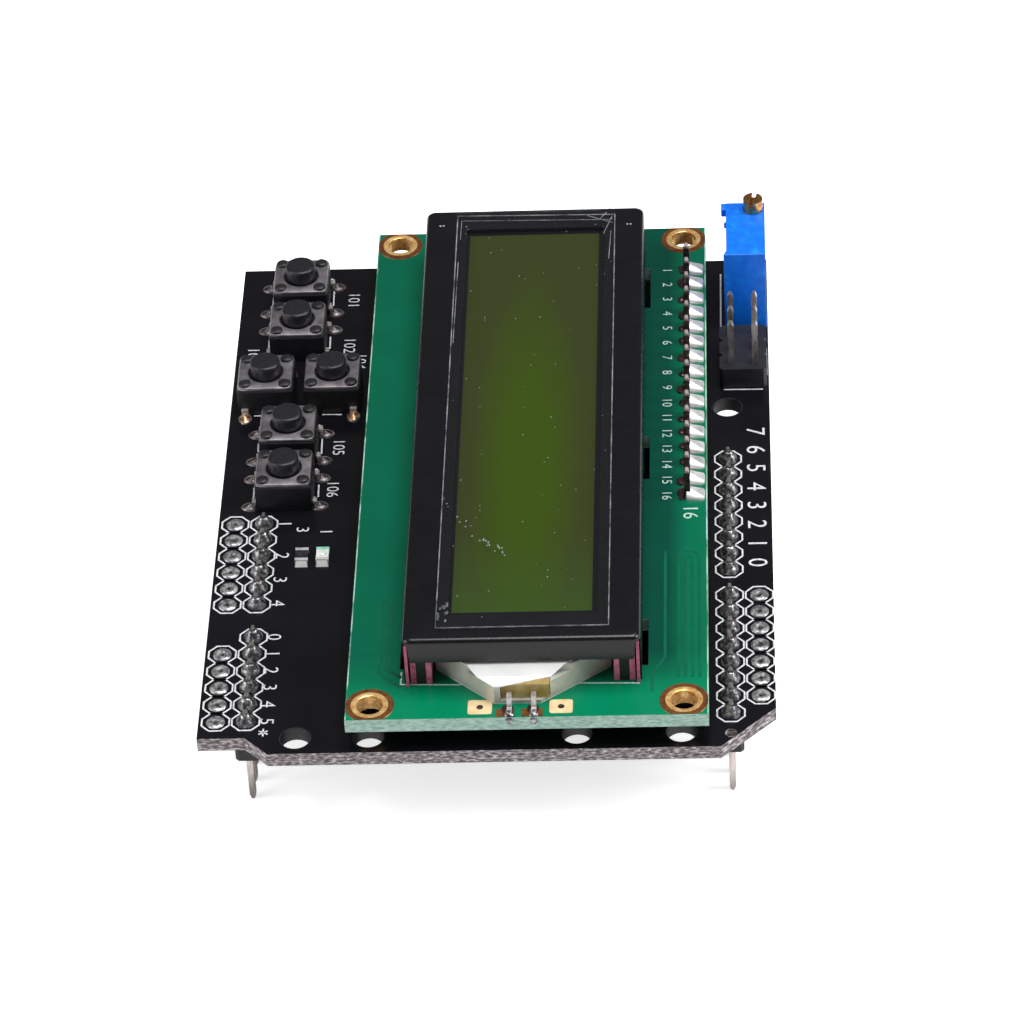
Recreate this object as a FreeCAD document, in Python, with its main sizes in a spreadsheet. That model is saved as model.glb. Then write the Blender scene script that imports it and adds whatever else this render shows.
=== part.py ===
import FreeCAD, Part
import os
import re
import Sketcher

# Character display module: a two-line display with its metal bezel, soldered by its
# pin row onto a black carrier board with six push buttons, a contrast trimmer and
# four rows of long pins that plug into a controller board underneath.
# The module stands on the tips of those pins: Z is 0 there, +Z is up, and X and Y are 0
# at the middle of the footprint. +Y is the far end, where the trimmer is.

doc = FreeCAD.newDocument("display_module")

SIZES = {
    # Carrier board
    "board_wide": 57.5,
    "board_long": 78.8,
    "board_thick": 1.6,
    "board_y": -0.3,
    "step_wide": 4.75,
    "step_back": 2.4,
    "corner_cut": 5.5,
    "screw_hole_radius": 1.6,
    "screw_hole_y": -37.44,
    "screw_hole_left": -18.91,
    "screw_hole_right": 9.03,
    "side_hole_y": 13.36,
    "spacer_hole_radius": 1.6,
    "spacer_hole_x": 3.88,
    "pale_hole_radius": 0.6,
    "pale_hole_inset": 1.9,
    # Pin rows that reach down to the controller board
    "pin_pitch": 2.54,
    "pin_side": 0.64,
    "pin_taper": 0.5,
    "pin_tip": 0.28,
    "pin_reach": 6.0,
    "pin_stub": 1.4,
    "row_gap": 48.26,
    "row_x": 0.14,
    "row_near_y": -34.9,
    "power_row_y": -17.12,
    "high_row_y": -13.056,
    "strip_tall": 2.5,
    "strip_wide": 2.5,
    "block_corner": 0.35,
    "joint_wide": 1.8,
    "joint_top": 0.9,
    "joint_tall": 1.1,
    "spare_offset": 3.02,
    "spare_radius": 0.5,
    # Programming header
    "prog_x": 26.04,
    "prog_y": 20.41,
    "prog_tall": 2.54,
    "prog_reach": 5.4,
    # Contrast trimmer
    "trim_wide": 4.2,
    "trim_long": 9.3,
    "trim_tall": 9.7,
    "trim_lift": 0.3,
    "trim_x": 26.54,
    "trim_y": 31.57,
    "trim_foot": 1.2,
    "trim_nib": 0.5,
    "far_nib_long": 1.4,
    "near_nib_long": 0.9,
    "trim_edge": 0.35,
    "screw_inset": 1.25,
    "screw_radius": 1.05,
    "screw_tall": 1.4,
    "screw_ease": 0.04,
    "shank_radius": 0.8,
    "shank_long": 2.0,
    "slot_wide": 0.45,
    "slot_deep": 0.6,
    "slot_turn": 12.0,
    "lead_side": 0.5,
    # Push buttons
    "button_side": 6.0,
    "button_x": -22.0,
    "button_1_y": 33.45,
    "button_2_y": 25.91,
    "button_3_y": 16.76,
    "button_4_y": 8.05,
    "button_5_y": 0.65,
    "pair_x": -21.32,
    "pair_gap": 7.1,
    "base_tall": 3.2,
    "well_side": 4.4,
    "well_floor": 1.0,
    "well_corner": 1.2,
    "cover_side": 5.8,
    "cover_thick": 0.3,
    "cover_corner": 0.5,
    "cover_hole_radius": 1.85,
    "post_place": 2.12,
    "post_side": 1.05,
    "post_head": 0.12,
    "post_ease": 0.05,
    "cap_radius": 1.6,
    "button_tall": 5.0,
    "flange_side": 4.1,
    "flange_thick": 0.7,
    "flange_ease": 0.03,
    "press_travel": 0.25,
    "dome_long": 3.6,
    "dome_wide": 2.0,
    "dome_thick": 0.1,
    "dome_ease": 0.06,
    "leg_span": 6.5,
    "leg_pitch": 4.5,
    "leg_wide": 0.7,
    "leg_thick": 0.3,
    "leg_high": 0.9,
    "leg_reach": 3.4,
    # Small surface-mounted parts
    "chip_long": 2.0,
    "chip_wide": 1.3,
    "chip_tall": 0.55,
    "chip_end": 0.4,
    "chip_step": 0.03,
    "led_tall": 0.35,
    "lens_tall": 0.3,
    "lens_top": 1.0,
    "led_x": -17.6,
    "led_resistor_x": -19.76,
    "led_y": -9.9,
    "ladder_x": -4.0,
    "ladder_y": 24.0,
    "ladder_pitch": 3.0,
    "transistor_x": 10.5,
    "transistor_y": 27.0,
    "transistor_long": 2.9,
    "transistor_wide": 1.3,
    "transistor_tall": 1.0,
    "transistor_lift": 0.1,
    "transistor_pitch": 0.95,
    "foot_long": 0.7,
    "foot_wide": 0.4,
    "foot_thick": 0.25,
    # Display board
    "lcd_wide": 35.8,
    "lcd_long": 79.2,
    "lcd_thick": 1.6,
    "lcd_x": 4.24,
    "lcd_y": 0.1,
    "lcd_gap": 2.54,
    "lcd_hole_x": 31.0,
    "lcd_hole_y": 75.0,
    "lcd_hole_radius": 1.4,
    "lcd_row_x": 15.85,
    "lcd_row_y": -6.1,
    "lcd_pin_above": 3.46,
    "lcd_joint_tall": 0.95,
    "lcd_joint_gap": 0.5,
    "lcd_joint_inner": 0.75,
    "lcd_joint_outer": 1.85,
    "blob_wide": 11.0,
    "blob_bevel": 0.7,
    "blob_tall": 1.0,
    "blob_place": 15.0,
    # Stamped bezel
    "bezel_x": -0.39,
    "bezel_y": 0.1,
    "bezel_wide": 23.5,
    "bezel_long": 70.6,
    "bezel_bend": 0.9,
    "bezel_corner": 1.2,
    "sheet_thick": 0.4,
    "bezel_ease": 0.16,
    "end_wall": 2.8,
    "window_wide": 14.8,
    "window_long": 63.2,
    "window_x": 0.12,
    "window_y": 0.23,
    "tab_long": 5.4,
    "tab_foot": 1.3,
    "tab_pitch": 28.85,
    "tab_slot_long": 7.0,
    "tab_slot_wide": 1.6,
    # Glass, films and light guide inside the bezel
    "glass_thick": 1.1,
    "glass_end_ease": 0.4,
    "glass_step": 2.6,
    "polariser_thick": 0.2,
    "polariser_ease": 0.05,
    "polariser_step": 0.4,
    "film_thick": 0.1,
    "guide_thick": 2.9,
    "guide_ease": 0.25,
    "nose_tall": 2.1,
    "nose_top_y": -35.3,
    "nose_root_y": -32.3,
    "nose_tip_y": -37.6,
    "nose_tip_x": -0.85,
    "nose_tip_wide": 4.6,
    "nose_floor": 0.35,
    "lamp_x": -0.07,
    "lamp_wide": 4.8,
    "lamp_deep": 1.4,
    "lamp_back_y": -35.85,
    "lamp_ease": 0.05,
    "film_slant": 1.35,
    "film_ease": 0.02,
    "zebra_wide": 2.1,
    "lead_gap": 2.41,
    "lead_wide": 0.5,
    "lead_thick": 0.25,
    "lead_exit": 1.3,
    "lead_bend": 0.55,
    "lead_fall": 0.3,
    "lead_offset": 0.4,
    "lead_foot_y": -39.3,
    # Protective film on the bezel's face
    "cover_film_wide": 17.2,
    "cover_film_long": 68.2,
    "cover_film_thick": 0.08,
    "cover_film_x": -0.27,
    "cover_film_y": 0.6,
    # How far a cut runs past the piece that it trims
    "cut_past": 1.0,
}

# Levels and places that follow from the sizes
PLACES = {
    "board_under": "pin_reach + strip_tall",
    "board_face": "board_under + board_thick",
    "row_left": "row_x - row_gap / 2",
    "row_right": "row_x + row_gap / 2",
    "lcd_under": "board_face + lcd_gap",
    "lcd_face": "lcd_under + lcd_thick",
    "film_stack": "film_thick + guide_thick + film_thick",
    "rear_glass_under": "film_stack + polariser_thick",
    "front_glass_under": "rear_glass_under + glass_thick",
    "bezel_inner": "front_glass_under + glass_thick + polariser_thick + bezel_ease",
    "bezel_tall": "bezel_inner + sheet_thick",
    "front_glass_wide": "bezel_wide - 2 * sheet_thick - 2 * guide_ease",
    "front_glass_long": "bezel_long - 2 * sheet_thick - 2 * glass_end_ease",
    "rear_glass_long": "front_glass_long - glass_step",
    "polariser_wide": "guide_wide - 2 * polariser_ease",
    "polariser_long": "rear_glass_long - polariser_step",
    "guide_wide": "front_glass_wide - 2 * zebra_wide - 2 * guide_ease",
    "wall_place": "bezel_wide / 2 - sheet_thick / 2",
    "flange_under": "base_tall - flange_ease - flange_thick",
    "dome_top": "flange_under - press_travel - dome_ease",
    "screw_x": "trim_wide / 2 - screw_inset",
    "screw_y": "trim_long / 2 - screw_inset",
    "trim_top": "trim_lift + trim_tall",
    "guide_far_y": "bezel_y + bezel_long / 2 - sheet_thick - guide_ease",
}

sheet = doc.addObject("Spreadsheet::Sheet", "Sizes")
for line, (alias, size) in enumerate(SIZES.items(), start=1):
    sheet.set(f"A{line}", alias)
    sheet.set(f"B{line}", str(size))
    sheet.setAlias(f"B{line}", alias)
doc.recompute()


def bound(formula):
    """Point each size that a formula names at its cell of the sheet."""
    def cell(word):
        name = word.group()
        if name in SIZES:
            return f"Sizes.{name}"
        if name in PLACES:
            return f"({bound(PLACES[name])})"
        return name
    return re.sub(r"[a-z]\w*", cell, str(formula))


def bind(thing, **formulas):
    """Bind properties to formulas."""
    for name, formula in formulas.items():
        thing.setExpression(name, bound(formula))


def place(thing, x="0", y="0", z="0", turn=None):
    """Bind where a piece stands, and its turn about Z in degrees, which is under 180."""
    if turn is not None:
        thing.Placement.Rotation = FreeCAD.Rotation(FreeCAD.Vector(0, 0, 1), 1.0)
        thing.setExpression("Placement.Rotation.Angle", bound(turn))
    for axis, formula in zip("xyz", (x, y, z)):
        thing.setExpression(f"Placement.Base.{axis}", bound(formula))


def new_body(label, x="0", y="0", z="0", turn=None):
    body = doc.addObject("PartDesign::Body", label)
    body.Label = label
    place(body, x, y, z, turn)
    return body


def origin_feature(body, role):
    for feature in body.Origin.OriginFeatures:
        if feature.Role == role:
            return feature


def new_sketch(body, height="0", plane="XY_Plane"):
    sketch = body.newObject("Sketcher::SketchObject", f"{body.Name}_sketch")
    sketch.AttachmentSupport = (origin_feature(body, plane), [""])
    sketch.MapMode = "FlatFace"
    sketch.setExpression("AttachmentOffset.Base.z", bound(height))
    return sketch


def fix_point(sketch, geometry, end, x, y):
    """Hold a sketch point at the distances from the origin that two formulas give."""
    for kind, formula in (("DistanceX", x), ("DistanceY", y)):
        number = sketch.addConstraint(Sketcher.Constraint(kind, -1, 1, geometry, end, 0.0))
        sketch.setExpression(f"Constraints[{number}]", bound(formula))


# Where the corners of a sketch stand until its constraints draw them to their places
sketch_room = 9.0


def polygon(sketch, corners):
    """Draw a closed outline through corners that are pairs of formulas."""
    count = len(corners)
    start = sketch.GeometryCount
    first = FreeCAD.Vector(sketch_room, 0, 0)
    ring = [FreeCAD.Rotation(FreeCAD.Vector(0, 0, 1), 360.0 * k / count).multVec(first)
            for k in range(count)]
    for k in range(count):
        sketch.addGeometry(Part.LineSegment(ring[k], ring[(k + 1) % count]), False)
    for k in range(count):
        sketch.addConstraint(
            Sketcher.Constraint("Coincident", start + k, 2, start + (k + 1) % count, 1))
    for k, (x, y) in enumerate(corners):
        fix_point(sketch, start + k, 1, x, y)


def rectangle(sketch, wide, deep, x="0", y="0"):
    left, right = f"({x}) - ({wide}) / 2", f"({x}) + ({wide}) / 2"
    near, far = f"({y}) - ({deep}) / 2", f"({y}) + ({deep}) / 2"
    polygon(sketch, [(left, near), (right, near), (right, far), (left, far)])


def cut_corners(sketch, wide, deep, cut, x="0", y="0"):
    """Draw a rectangle with its corners cut."""
    across, up = f"({wide}) / 2", f"({deep}) / 2"
    short, low = f"({across} - ({cut}))", f"({up} - ({cut}))"
    corners = [(across, low), (short, up), (f"-{short}", up), (f"-({across})", low),
               (f"-({across})", f"-{low}"), (f"-{short}", f"-({up})"), (short, f"-({up})"),
               (across, f"-{low}")]
    polygon(sketch, [(f"({x}) + ({a})", f"({y}) + ({b})") for a, b in corners])


def many_sided(sketch, radius, sides, x="0", y="0"):
    """Draw a polygon with equal sides, whose flats touch a circle of the radius."""
    step = 360 / sides
    reach = f"({radius}) / cos({step / 2} deg)"
    angles = [(k + 0.5) * step for k in range(sides)]
    polygon(sketch, [(f"({x}) + {reach} * cos({angle} deg)", f"({y}) + {reach} * sin({angle} deg)")
                     for angle in angles])


def circle(sketch, radius, x="0", y="0"):
    number = sketch.addGeometry(
        Part.Circle(FreeCAD.Vector(0, 0, 0), FreeCAD.Vector(0, 0, 1), 1.0), False)
    size = sketch.addConstraint(Sketcher.Constraint("Radius", number, 1.0))
    sketch.setExpression(f"Constraints[{size}]", bound(radius))
    fix_point(sketch, number, 3, x, y)


def pad(body, sketch, tall, midplane=False, down=False):
    feature = body.newObject("PartDesign::Pad", f"{body.Name}_pad")
    feature.Profile = sketch
    feature.Midplane = midplane
    feature.Reversed = down
    bind(feature, Length=tall)
    return feature


def pocket(body, sketch, deep=None):
    """Cut down from a sketch, or right through both ways where no depth is given."""
    feature = body.newObject("PartDesign::Pocket", f"{body.Name}_pocket")
    feature.Profile = sketch
    if deep is None:
        feature.Type = "ThroughAll"
        feature.Midplane = True
    else:
        bind(feature, Length=deep)
    return feature


def frustum(body, low_side, high_side, tall, x="0", y="0", z="0"):
    """Add a square boss that tapers from one side length to another as it rises."""
    feature = body.newObject("PartDesign::AdditiveWedge", f"{body.Name}_frustum")
    feature.AttachmentSupport = (origin_feature(body, "XZ_Plane"), [""])
    feature.MapMode = "FlatFace"
    low, high = f"({low_side}) / 2", f"({high_side}) / 2"
    bind(feature, Xmin=f"-{low}", Xmax=low, Zmin=f"-{low}", Zmax=low, Ymin="0", Ymax=tall,
         X2min=f"-{high}", X2max=high, Z2min=f"-{high}", Z2max=high)
    for axis, formula in zip("xyz", (x, z, f"-({y})")):
        feature.setExpression(f"AttachmentOffset.Base.{axis}", bound(formula))
    return feature


def row(body, features, spacing, count):
    """Repeat features along the body's Y axis."""
    feature = body.newObject("PartDesign::LinearPattern", f"{body.Name}_row")
    feature.Originals = features
    feature.Direction = (origin_feature(body, "Y_Axis"), [""])
    feature.Mode = "Spacing"
    bind(feature, Offset=spacing)
    feature.Occurrences = count
    body.Tip = feature
    return feature


def dress(body, kind, size, wanted):
    """Round or bevel the edges of the body so far that the test in wanted picks."""
    doc.recompute()
    base = body.Tip
    whole = base.Shape.BoundBox
    names = [f"Edge{k}" for k, edge in enumerate(base.Shape.Edges, start=1)
             if wanted(edge.BoundBox, whole)]
    feature = body.newObject(f"PartDesign::{kind}", f"{body.Name}_{kind.lower()}")
    feature.Base = (base, names)
    bind(feature, **{"Radius" if kind == "Fillet" else "Size": size})
    return feature


def upright(edge, whole):
    return edge.ZLength > 1e-3 and edge.XLength < 1e-3 and edge.YLength < 1e-3


def at_top(edge, whole):
    return edge.ZMin > whole.ZMax - 1e-3


def at_foot(edge, whole):
    return edge.ZMax < whole.ZMin + 1e-3


# Rows that plug into the controller board: name, side, nearest pin, number of pins
ROWS = (
    ("power_header", "row_left", "power_row_y", 6),
    ("analog_header", "row_left", "row_near_y", 6),
    ("digital_low_header", "row_right", "row_near_y", 8),
    ("digital_high_header", "row_right", "high_row_y", 8),
)

# Spare plated holes outboard of the rows: side, nearest hole, number of holes
SPARES = (
    ("row_left - spare_offset", "power_row_y", 6),
    ("row_left - spare_offset", "row_near_y", 5),
    ("row_right + spare_offset", "row_near_y + pin_pitch", 7),
)

# Push buttons: name, place, and whether its legs come out at the near and far sides
BUTTONS = (
    ("select_button", "button_x", "button_1_y", False),
    ("left_button", "button_x", "button_2_y", False),
    ("down_button", "pair_x - pair_gap / 2", "button_3_y", True),
    ("up_button", "pair_x + pair_gap / 2", "button_3_y", True),
    ("right_button", "button_x", "button_4_y", False),
    ("reset_button", "button_x", "button_5_y", False),
)

# Sides that stand for the round plunger and for the hole round it
CAP_SIDES = 12


def leg_places(x, y, turned):
    """The four leg holes of one push button."""
    out, along = "leg_span / 2", "leg_pitch / 2"
    across, deep = (along, out) if turned else (out, along)
    return [(f"{x} {a} {across}", f"{y} {b} {deep}") for a in "-+" for b in "-+"]


# Carrier board: black glass-fibre board with a stepped near left corner and a bevelled
# near right corner. Pin holes are as wide as the pins, because solder fills the rest.
board = new_body("main_board", y="board_y", z="board_under")
outline = new_sketch(board)
half, far = "board_wide / 2", "board_long / 2"
polygon(outline, [
    (f"-{half}", far),
    (f"-{half}", f"-{far} + step_back"),
    (f"-{half} + step_wide", f"-{far} + step_back"),
    (f"-{half} + step_wide + step_back", f"-{far}"),
    (f"{half} - corner_cut", f"-{far}"),
    (half, f"-{far} + corner_cut"),
    (half, far),
])
pad(board, outline, "board_thick")
round_holes = new_sketch(board)
circle(round_holes, "screw_hole_radius", "screw_hole_left", "screw_hole_y - board_y")
circle(round_holes, "screw_hole_radius", "screw_hole_right", "screw_hole_y - board_y")
circle(round_holes, "screw_hole_radius", "row_right", "side_hole_y - board_y")
for side in "-+":
    circle(round_holes, "spacer_hole_radius", f"spacer_hole_x {side} lcd_hole_x / 2",
           "screw_hole_y - board_y")
many_sided(round_holes, "pale_hole_radius", 8, "row_right", f"-{far} + pale_hole_inset")
pocket(board, round_holes)
for side, near, count in SPARES:
    hole = new_sketch(board)
    many_sided(hole, "spare_radius", 6, side, f"{near} - board_y")
    row(board, [pocket(board, hole)], "pin_pitch", count)
for name, side, near, count in ROWS:
    hole = new_sketch(board)
    rectangle(hole, "pin_side", "pin_side", side, f"{near} - board_y")
    row(board, [pocket(board, hole)], "pin_pitch", count)
hole = new_sketch(board)
rectangle(hole, "pin_side", "pin_side", "lcd_x + lcd_row_x", "lcd_y + lcd_row_y - board_y")
row(board, [pocket(board, hole)], "pin_pitch", 16)
hole = new_sketch(board)
for side in "-+":
    rectangle(hole, "pin_side", "pin_side", f"prog_x {side} pin_pitch / 2",
              "prog_y - pin_pitch - board_y")
row(board, [pocket(board, hole)], "pin_pitch", 3)
hole = new_sketch(board)
for k in (-1, 0, 1):
    rectangle(hole, "lead_side", "lead_side", "trim_x", f"trim_y + {k} * pin_pitch - board_y")
pocket(board, hole)
for name, x, y, turned in BUTTONS:
    hole = new_sketch(board)
    wide, deep = ("leg_wide", "leg_thick") if turned else ("leg_thick", "leg_wide")
    for leg_x, leg_y in leg_places(x, y, turned):
        rectangle(hole, wide, deep, leg_x, f"{leg_y} - board_y")
    pocket(board, hole)


def strip(label, count, x, y, z, tall):
    """Moulded strip that carries a row of pins."""
    body = new_body(label, x, y, z)
    block = new_sketch(body)
    rectangle(block, "strip_wide", f"{count} * pin_pitch", y=f"{count - 1} * pin_pitch / 2")
    pad(body, block, tall)
    hole = new_sketch(body)
    rectangle(hole, "pin_side", "pin_side")
    row(body, [pocket(body, hole)], "pin_pitch", count)
    return body


def pins(label, count, x, y, low, high, columns=("0",)):
    """Rows of square pins, flattened to a narrow tip at both ends."""
    body = new_body(label, x, y, low)
    side_view = new_sketch(body, plane="XZ_Plane")
    top = f"({high}) - ({low})"
    for column in columns:
        polygon(side_view, [(f"({column}) {side} {width} / 2", level) for side, width, level in (
            ("-", "pin_tip", "0"),
            ("+", "pin_tip", "0"),
            ("+", "pin_side", "pin_taper"),
            ("+", "pin_side", f"{top} - pin_taper"),
            ("+", "pin_tip", top),
            ("-", "pin_tip", top),
            ("-", "pin_side", f"{top} - pin_taper"),
            ("-", "pin_side", "pin_taper"),
        )])
    row(body, [pad(body, side_view, "pin_side", midplane=True)], "pin_pitch", count)
    return body


# Four rows of long pins, each in its moulded strip under the board
pieces = [board]
for name, side, near, count in ROWS:
    pieces.append(strip(f"{name}_strip", count, side, near, "pin_reach", "strip_tall"))
    pieces.append(pins(f"{name}_pins", count, side, near, "0", "board_face + pin_stub"))

# Solder joints of the four rows on the top of the board
joints = new_body("header_solder_joints", z="board_face")
for name, side, near, count in ROWS:
    fillet = frustum(joints, "joint_wide", "joint_top", "joint_tall", side, near)
    core = new_sketch(joints, "joint_tall")
    rectangle(core, "pin_side", "pin_side", side, near)
    row(joints, [fillet, pocket(joints, core, "joint_tall")], "pin_pitch", count)
pieces.append(joints)

# Programming header: two rows of three pins in one moulded block on the board
block = new_body("programming_header_block", "prog_x", "prog_y", "board_face")
base = new_sketch(block)
cut_corners(base, "2 * pin_pitch", "3 * pin_pitch", "block_corner")
pad(block, base, "prog_tall")
hole = new_sketch(block)
for side in "-+":
    rectangle(hole, "pin_side", "pin_side", f"0 {side} pin_pitch / 2", "-pin_pitch")
row(block, [pocket(block, hole)], "pin_pitch", 3)
pieces.append(block)
pieces.append(pins("programming_header_pins", 3, "prog_x", "prog_y - pin_pitch",
                   "board_under - pin_stub", "board_face + prog_tall + prog_reach",
                   columns=("-pin_pitch / 2", "pin_pitch / 2")))

# Contrast trimmer: moulded housing on small feet, with spacing nibs down one side
housing = new_body("trimmer_housing", "trim_x", "trim_y", "board_face")
case = new_sketch(housing, "trim_lift")
rectangle(case, "trim_wide", "trim_long")
pad(housing, case, "trim_tall")
feet = new_sketch(housing)
for end in "-+":
    rectangle(feet, "trim_wide", "trim_foot", y=f"{end}(trim_long - trim_foot) / 2")
pad(housing, feet, "trim_lift")
nibs = new_sketch(housing, "trim_lift")
left = "-trim_wide / 2 - trim_nib / 2"
rectangle(nibs, "trim_nib", "far_nib_long", left, "(trim_long - far_nib_long) / 2")
rectangle(nibs, "trim_nib", "near_nib_long", left, "-(trim_long - near_nib_long) / 2")
pad(housing, nibs, "trim_tall")
dress(housing, "Chamfer", "trim_edge / 2", at_top)
bore = new_sketch(housing, "trim_top")
circle(bore, "shank_radius + screw_ease", "screw_x", "screw_y")
pocket(housing, bore, "shank_long + 2 * screw_ease")
pieces.append(housing)

# Adjusting screw: turned brass, with a slot across its head
screw = new_body("trimmer_screw", "trim_x + screw_x", "trim_y + screw_y", "board_face + trim_top",
                 turn="180 - slot_turn")
shank = new_sketch(screw, "screw_ease")
circle(shank, "shank_radius")
pad(screw, shank, "shank_long", down=True)
head = new_sketch(screw, "screw_ease")
circle(head, "screw_radius")
pad(screw, head, "screw_tall")
slot = new_sketch(screw, "screw_ease + screw_tall")
rectangle(slot, "slot_wide", "3 * screw_radius")
pocket(screw, slot, "slot_deep")
pieces.append(screw)

# Three leads of the trimmer, down through the board
leads = new_body("trimmer_leads", "trim_x", "trim_y", "board_under - pin_stub")
wire = new_sketch(leads)
for k in (-1, 0, 1):
    rectangle(wire, "lead_side", "lead_side", y=f"{k} * pin_pitch")
pad(leads, wire, "board_thick + pin_stub + trim_lift")
pieces.append(leads)


def button_base(label, x, y):
    """Moulded base: a well for the contact, and four staked posts at the corners."""
    body = new_body(label, x, y, "board_face")
    block = new_sketch(body)
    rectangle(block, "button_side", "button_side")
    pad(body, block, "base_tall")
    well = new_sketch(body, "base_tall")
    cut_corners(well, "well_side", "well_side", "well_corner")
    pocket(body, well, "base_tall - well_floor")
    posts = new_sketch(body, "base_tall")
    for a in "-+":
        for b in "-+":
            rectangle(posts, "post_side", "post_side", f"{a}post_place", f"{b}post_place")
    pad(body, posts, "cover_thick + post_head")
    return body


def button_cover(label, x, y):
    """Stamped steel cover, held by the posts and open over the plunger."""
    body = new_body(label, x, y, "board_face + base_tall")
    plate = new_sketch(body)
    cut_corners(plate, "cover_side", "cover_side", "cover_corner")
    pad(body, plate, "cover_thick")
    hole = new_sketch(body)
    many_sided(hole, "cover_hole_radius", CAP_SIDES)
    for a in "-+":
        for b in "-+":
            wide = "post_side + 2 * post_ease"
            rectangle(hole, wide, wide, f"{a}post_place", f"{b}post_place")
    pocket(body, hole)
    return body


def button_plunger(label, x, y):
    """Moulded plunger: a round cap with a flange that the cover keeps in the well."""
    body = new_body(label, x, y, "board_face + flange_under")
    flange = new_sketch(body)
    cut_corners(flange, "flange_side", "flange_side", "well_corner")
    pad(body, flange, "flange_thick")
    cap = new_sketch(body, "flange_thick")
    many_sided(cap, "cap_radius", CAP_SIDES)
    pad(body, cap, "button_tall - base_tall + flange_ease")
    return body


def legs(body, x, y, turned):
    """Four bent legs of one button, from its sides down through the board."""
    inner, outer, thick = "button_side / 2", "leg_span / 2 + leg_thick / 2", "leg_thick"
    for end in "-+":
        middle = f"({x} {end} leg_pitch / 2)" if turned else f"({y} {end} leg_pitch / 2)"
        profile = new_sketch(body, middle if turned else f"-{middle}",
                             "YZ_Plane" if turned else "XZ_Plane")
        centre = y if turned else x
        for side in "-+":
            polygon(profile, [(f"{centre} {side} ({across})", up) for across, up in (
                (inner, "leg_high - leg_thick"),
                (f"{outer} - {thick}", "leg_high - leg_thick"),
                (f"{outer} - {thick}", "-leg_reach"),
                (outer, "-leg_reach"),
                (outer, "leg_high"),
                (inner, "leg_high"),
            )])
        pad(body, profile, "leg_wide", midplane=True)


# Six push buttons: base, cover and plunger, with all legs and all contacts in two groups
for name, x, y, turned in BUTTONS:
    pieces.append(button_base(f"{name}_base", x, y))
    pieces.append(button_cover(f"{name}_cover", x, y))
    pieces.append(button_plunger(f"{name}_plunger", x, y))
button_legs = new_body("button_legs", z="board_face")
contacts = new_body("button_contacts", z="board_face")
for name, x, y, turned in BUTTONS:
    legs(button_legs, x, y, turned)
    arch = new_sketch(contacts, f"-({y})", "XZ_Plane")
    rise = "dome_top - well_floor"
    polygon(arch, [(f"{x} {across}", f"well_floor + {up}") for across, up in (
        ("- dome_long / 2", "0"),
        ("- dome_long / 2 + 2 * dome_thick", "0"),
        ("- dome_long / 6", f"{rise} - dome_thick"),
        ("+ dome_long / 6", f"{rise} - dome_thick"),
        ("+ dome_long / 2 - 2 * dome_thick", "0"),
        ("+ dome_long / 2", "0"),
        ("+ dome_long / 6 + dome_thick", rise),
        ("- dome_long / 6 - dome_thick", rise),
    )])
    pad(contacts, arch, "dome_wide", midplane=True)
pieces.append(button_legs)
pieces.append(contacts)


def chip(body, x, y, wide, long, tall, end):
    """Small ceramic part lying along Y, with metal ends that stand a little proud."""
    core = new_sketch(body)
    rectangle(core, wide, long, x, y)
    pad(body, core, f"{tall} - chip_step")
    caps = new_sketch(body)
    for side in "-+":
        rectangle(caps, wide, end, x, f"{y} {side} ({long} / 2 - {end} / 2)")
    pad(body, caps, tall)


# Power lamp and its resistor, then the parts under the display: the button resistors
# and the transistor that switches the backlight
lamp = new_body("power_led", "led_x", "led_y", "board_face")
chip(lamp, "0", "0", "chip_wide", "chip_long", "led_tall", "chip_end")
frustum(lamp, "chip_long - 2 * chip_end", "lens_top", "lens_tall", z="led_tall - chip_step")
pieces.append(lamp)
resistor = new_body("led_resistor", "led_resistor_x", "led_y", "board_face")
chip(resistor, "0", "0", "chip_wide", "chip_long", "chip_tall", "chip_end")
pieces.append(resistor)
ladder = new_body("ladder_resistors", "ladder_x", "ladder_y", "board_face")
for k in range(5):
    chip(ladder, f"{k} * ladder_pitch", "0", "chip_wide", "chip_long", "chip_tall", "chip_end")
pieces.append(ladder)
switch = new_body("backlight_transistor", "transistor_x", "transistor_y", "board_face")
shell = new_sketch(switch, "transistor_lift")
rectangle(shell, "transistor_long", "transistor_wide")
pad(switch, shell, "transistor_tall")
feet = new_sketch(switch)
for x, side in (("-transistor_pitch", "-"), ("transistor_pitch", "-"), ("0", "")):
    rectangle(feet, "foot_wide", "foot_long", x, f"{side}(transistor_wide + foot_long / 2) / 2")
pad(switch, feet, "foot_thick")
pieces.append(switch)

# Display board: glass-fibre board with mounting holes, slots for the bezel's tabs and
# a row of pin holes along its right edge
lcd = new_body("lcd_board", "lcd_x", "lcd_y", "lcd_under")
outline = new_sketch(lcd)
rectangle(outline, "lcd_wide", "lcd_long")
pad(lcd, outline, "lcd_thick")
cuts = new_sketch(lcd)
for a in "-+":
    for b in "-+":
        circle(cuts, "lcd_hole_radius", f"{a}lcd_hole_x / 2", f"{b}lcd_hole_y / 2")
pocket(lcd, cuts)
slots = new_sketch(lcd)
for side in "-+":
    rectangle(slots, "tab_slot_wide", "tab_slot_long", f"bezel_x {side} wall_place",
              "bezel_y - tab_pitch")
row(lcd, [pocket(lcd, slots)], "tab_pitch", 3)
hole = new_sketch(lcd)
rectangle(hole, "pin_side", "pin_side", "lcd_row_x", "lcd_row_y")
row(lcd, [pocket(lcd, hole)], "pin_pitch", 16)
pieces.append(lcd)

# Pin row that joins the two boards
row_spot = ("lcd_x + lcd_row_x", "lcd_y + lcd_row_y")
pieces.append(strip("lcd_header_strip", 16, *row_spot, "board_face", "lcd_gap"))
pieces.append(pins("lcd_header_pins", 16, *row_spot, "board_under - pin_stub",
                   "lcd_face + lcd_pin_above"))

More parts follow.
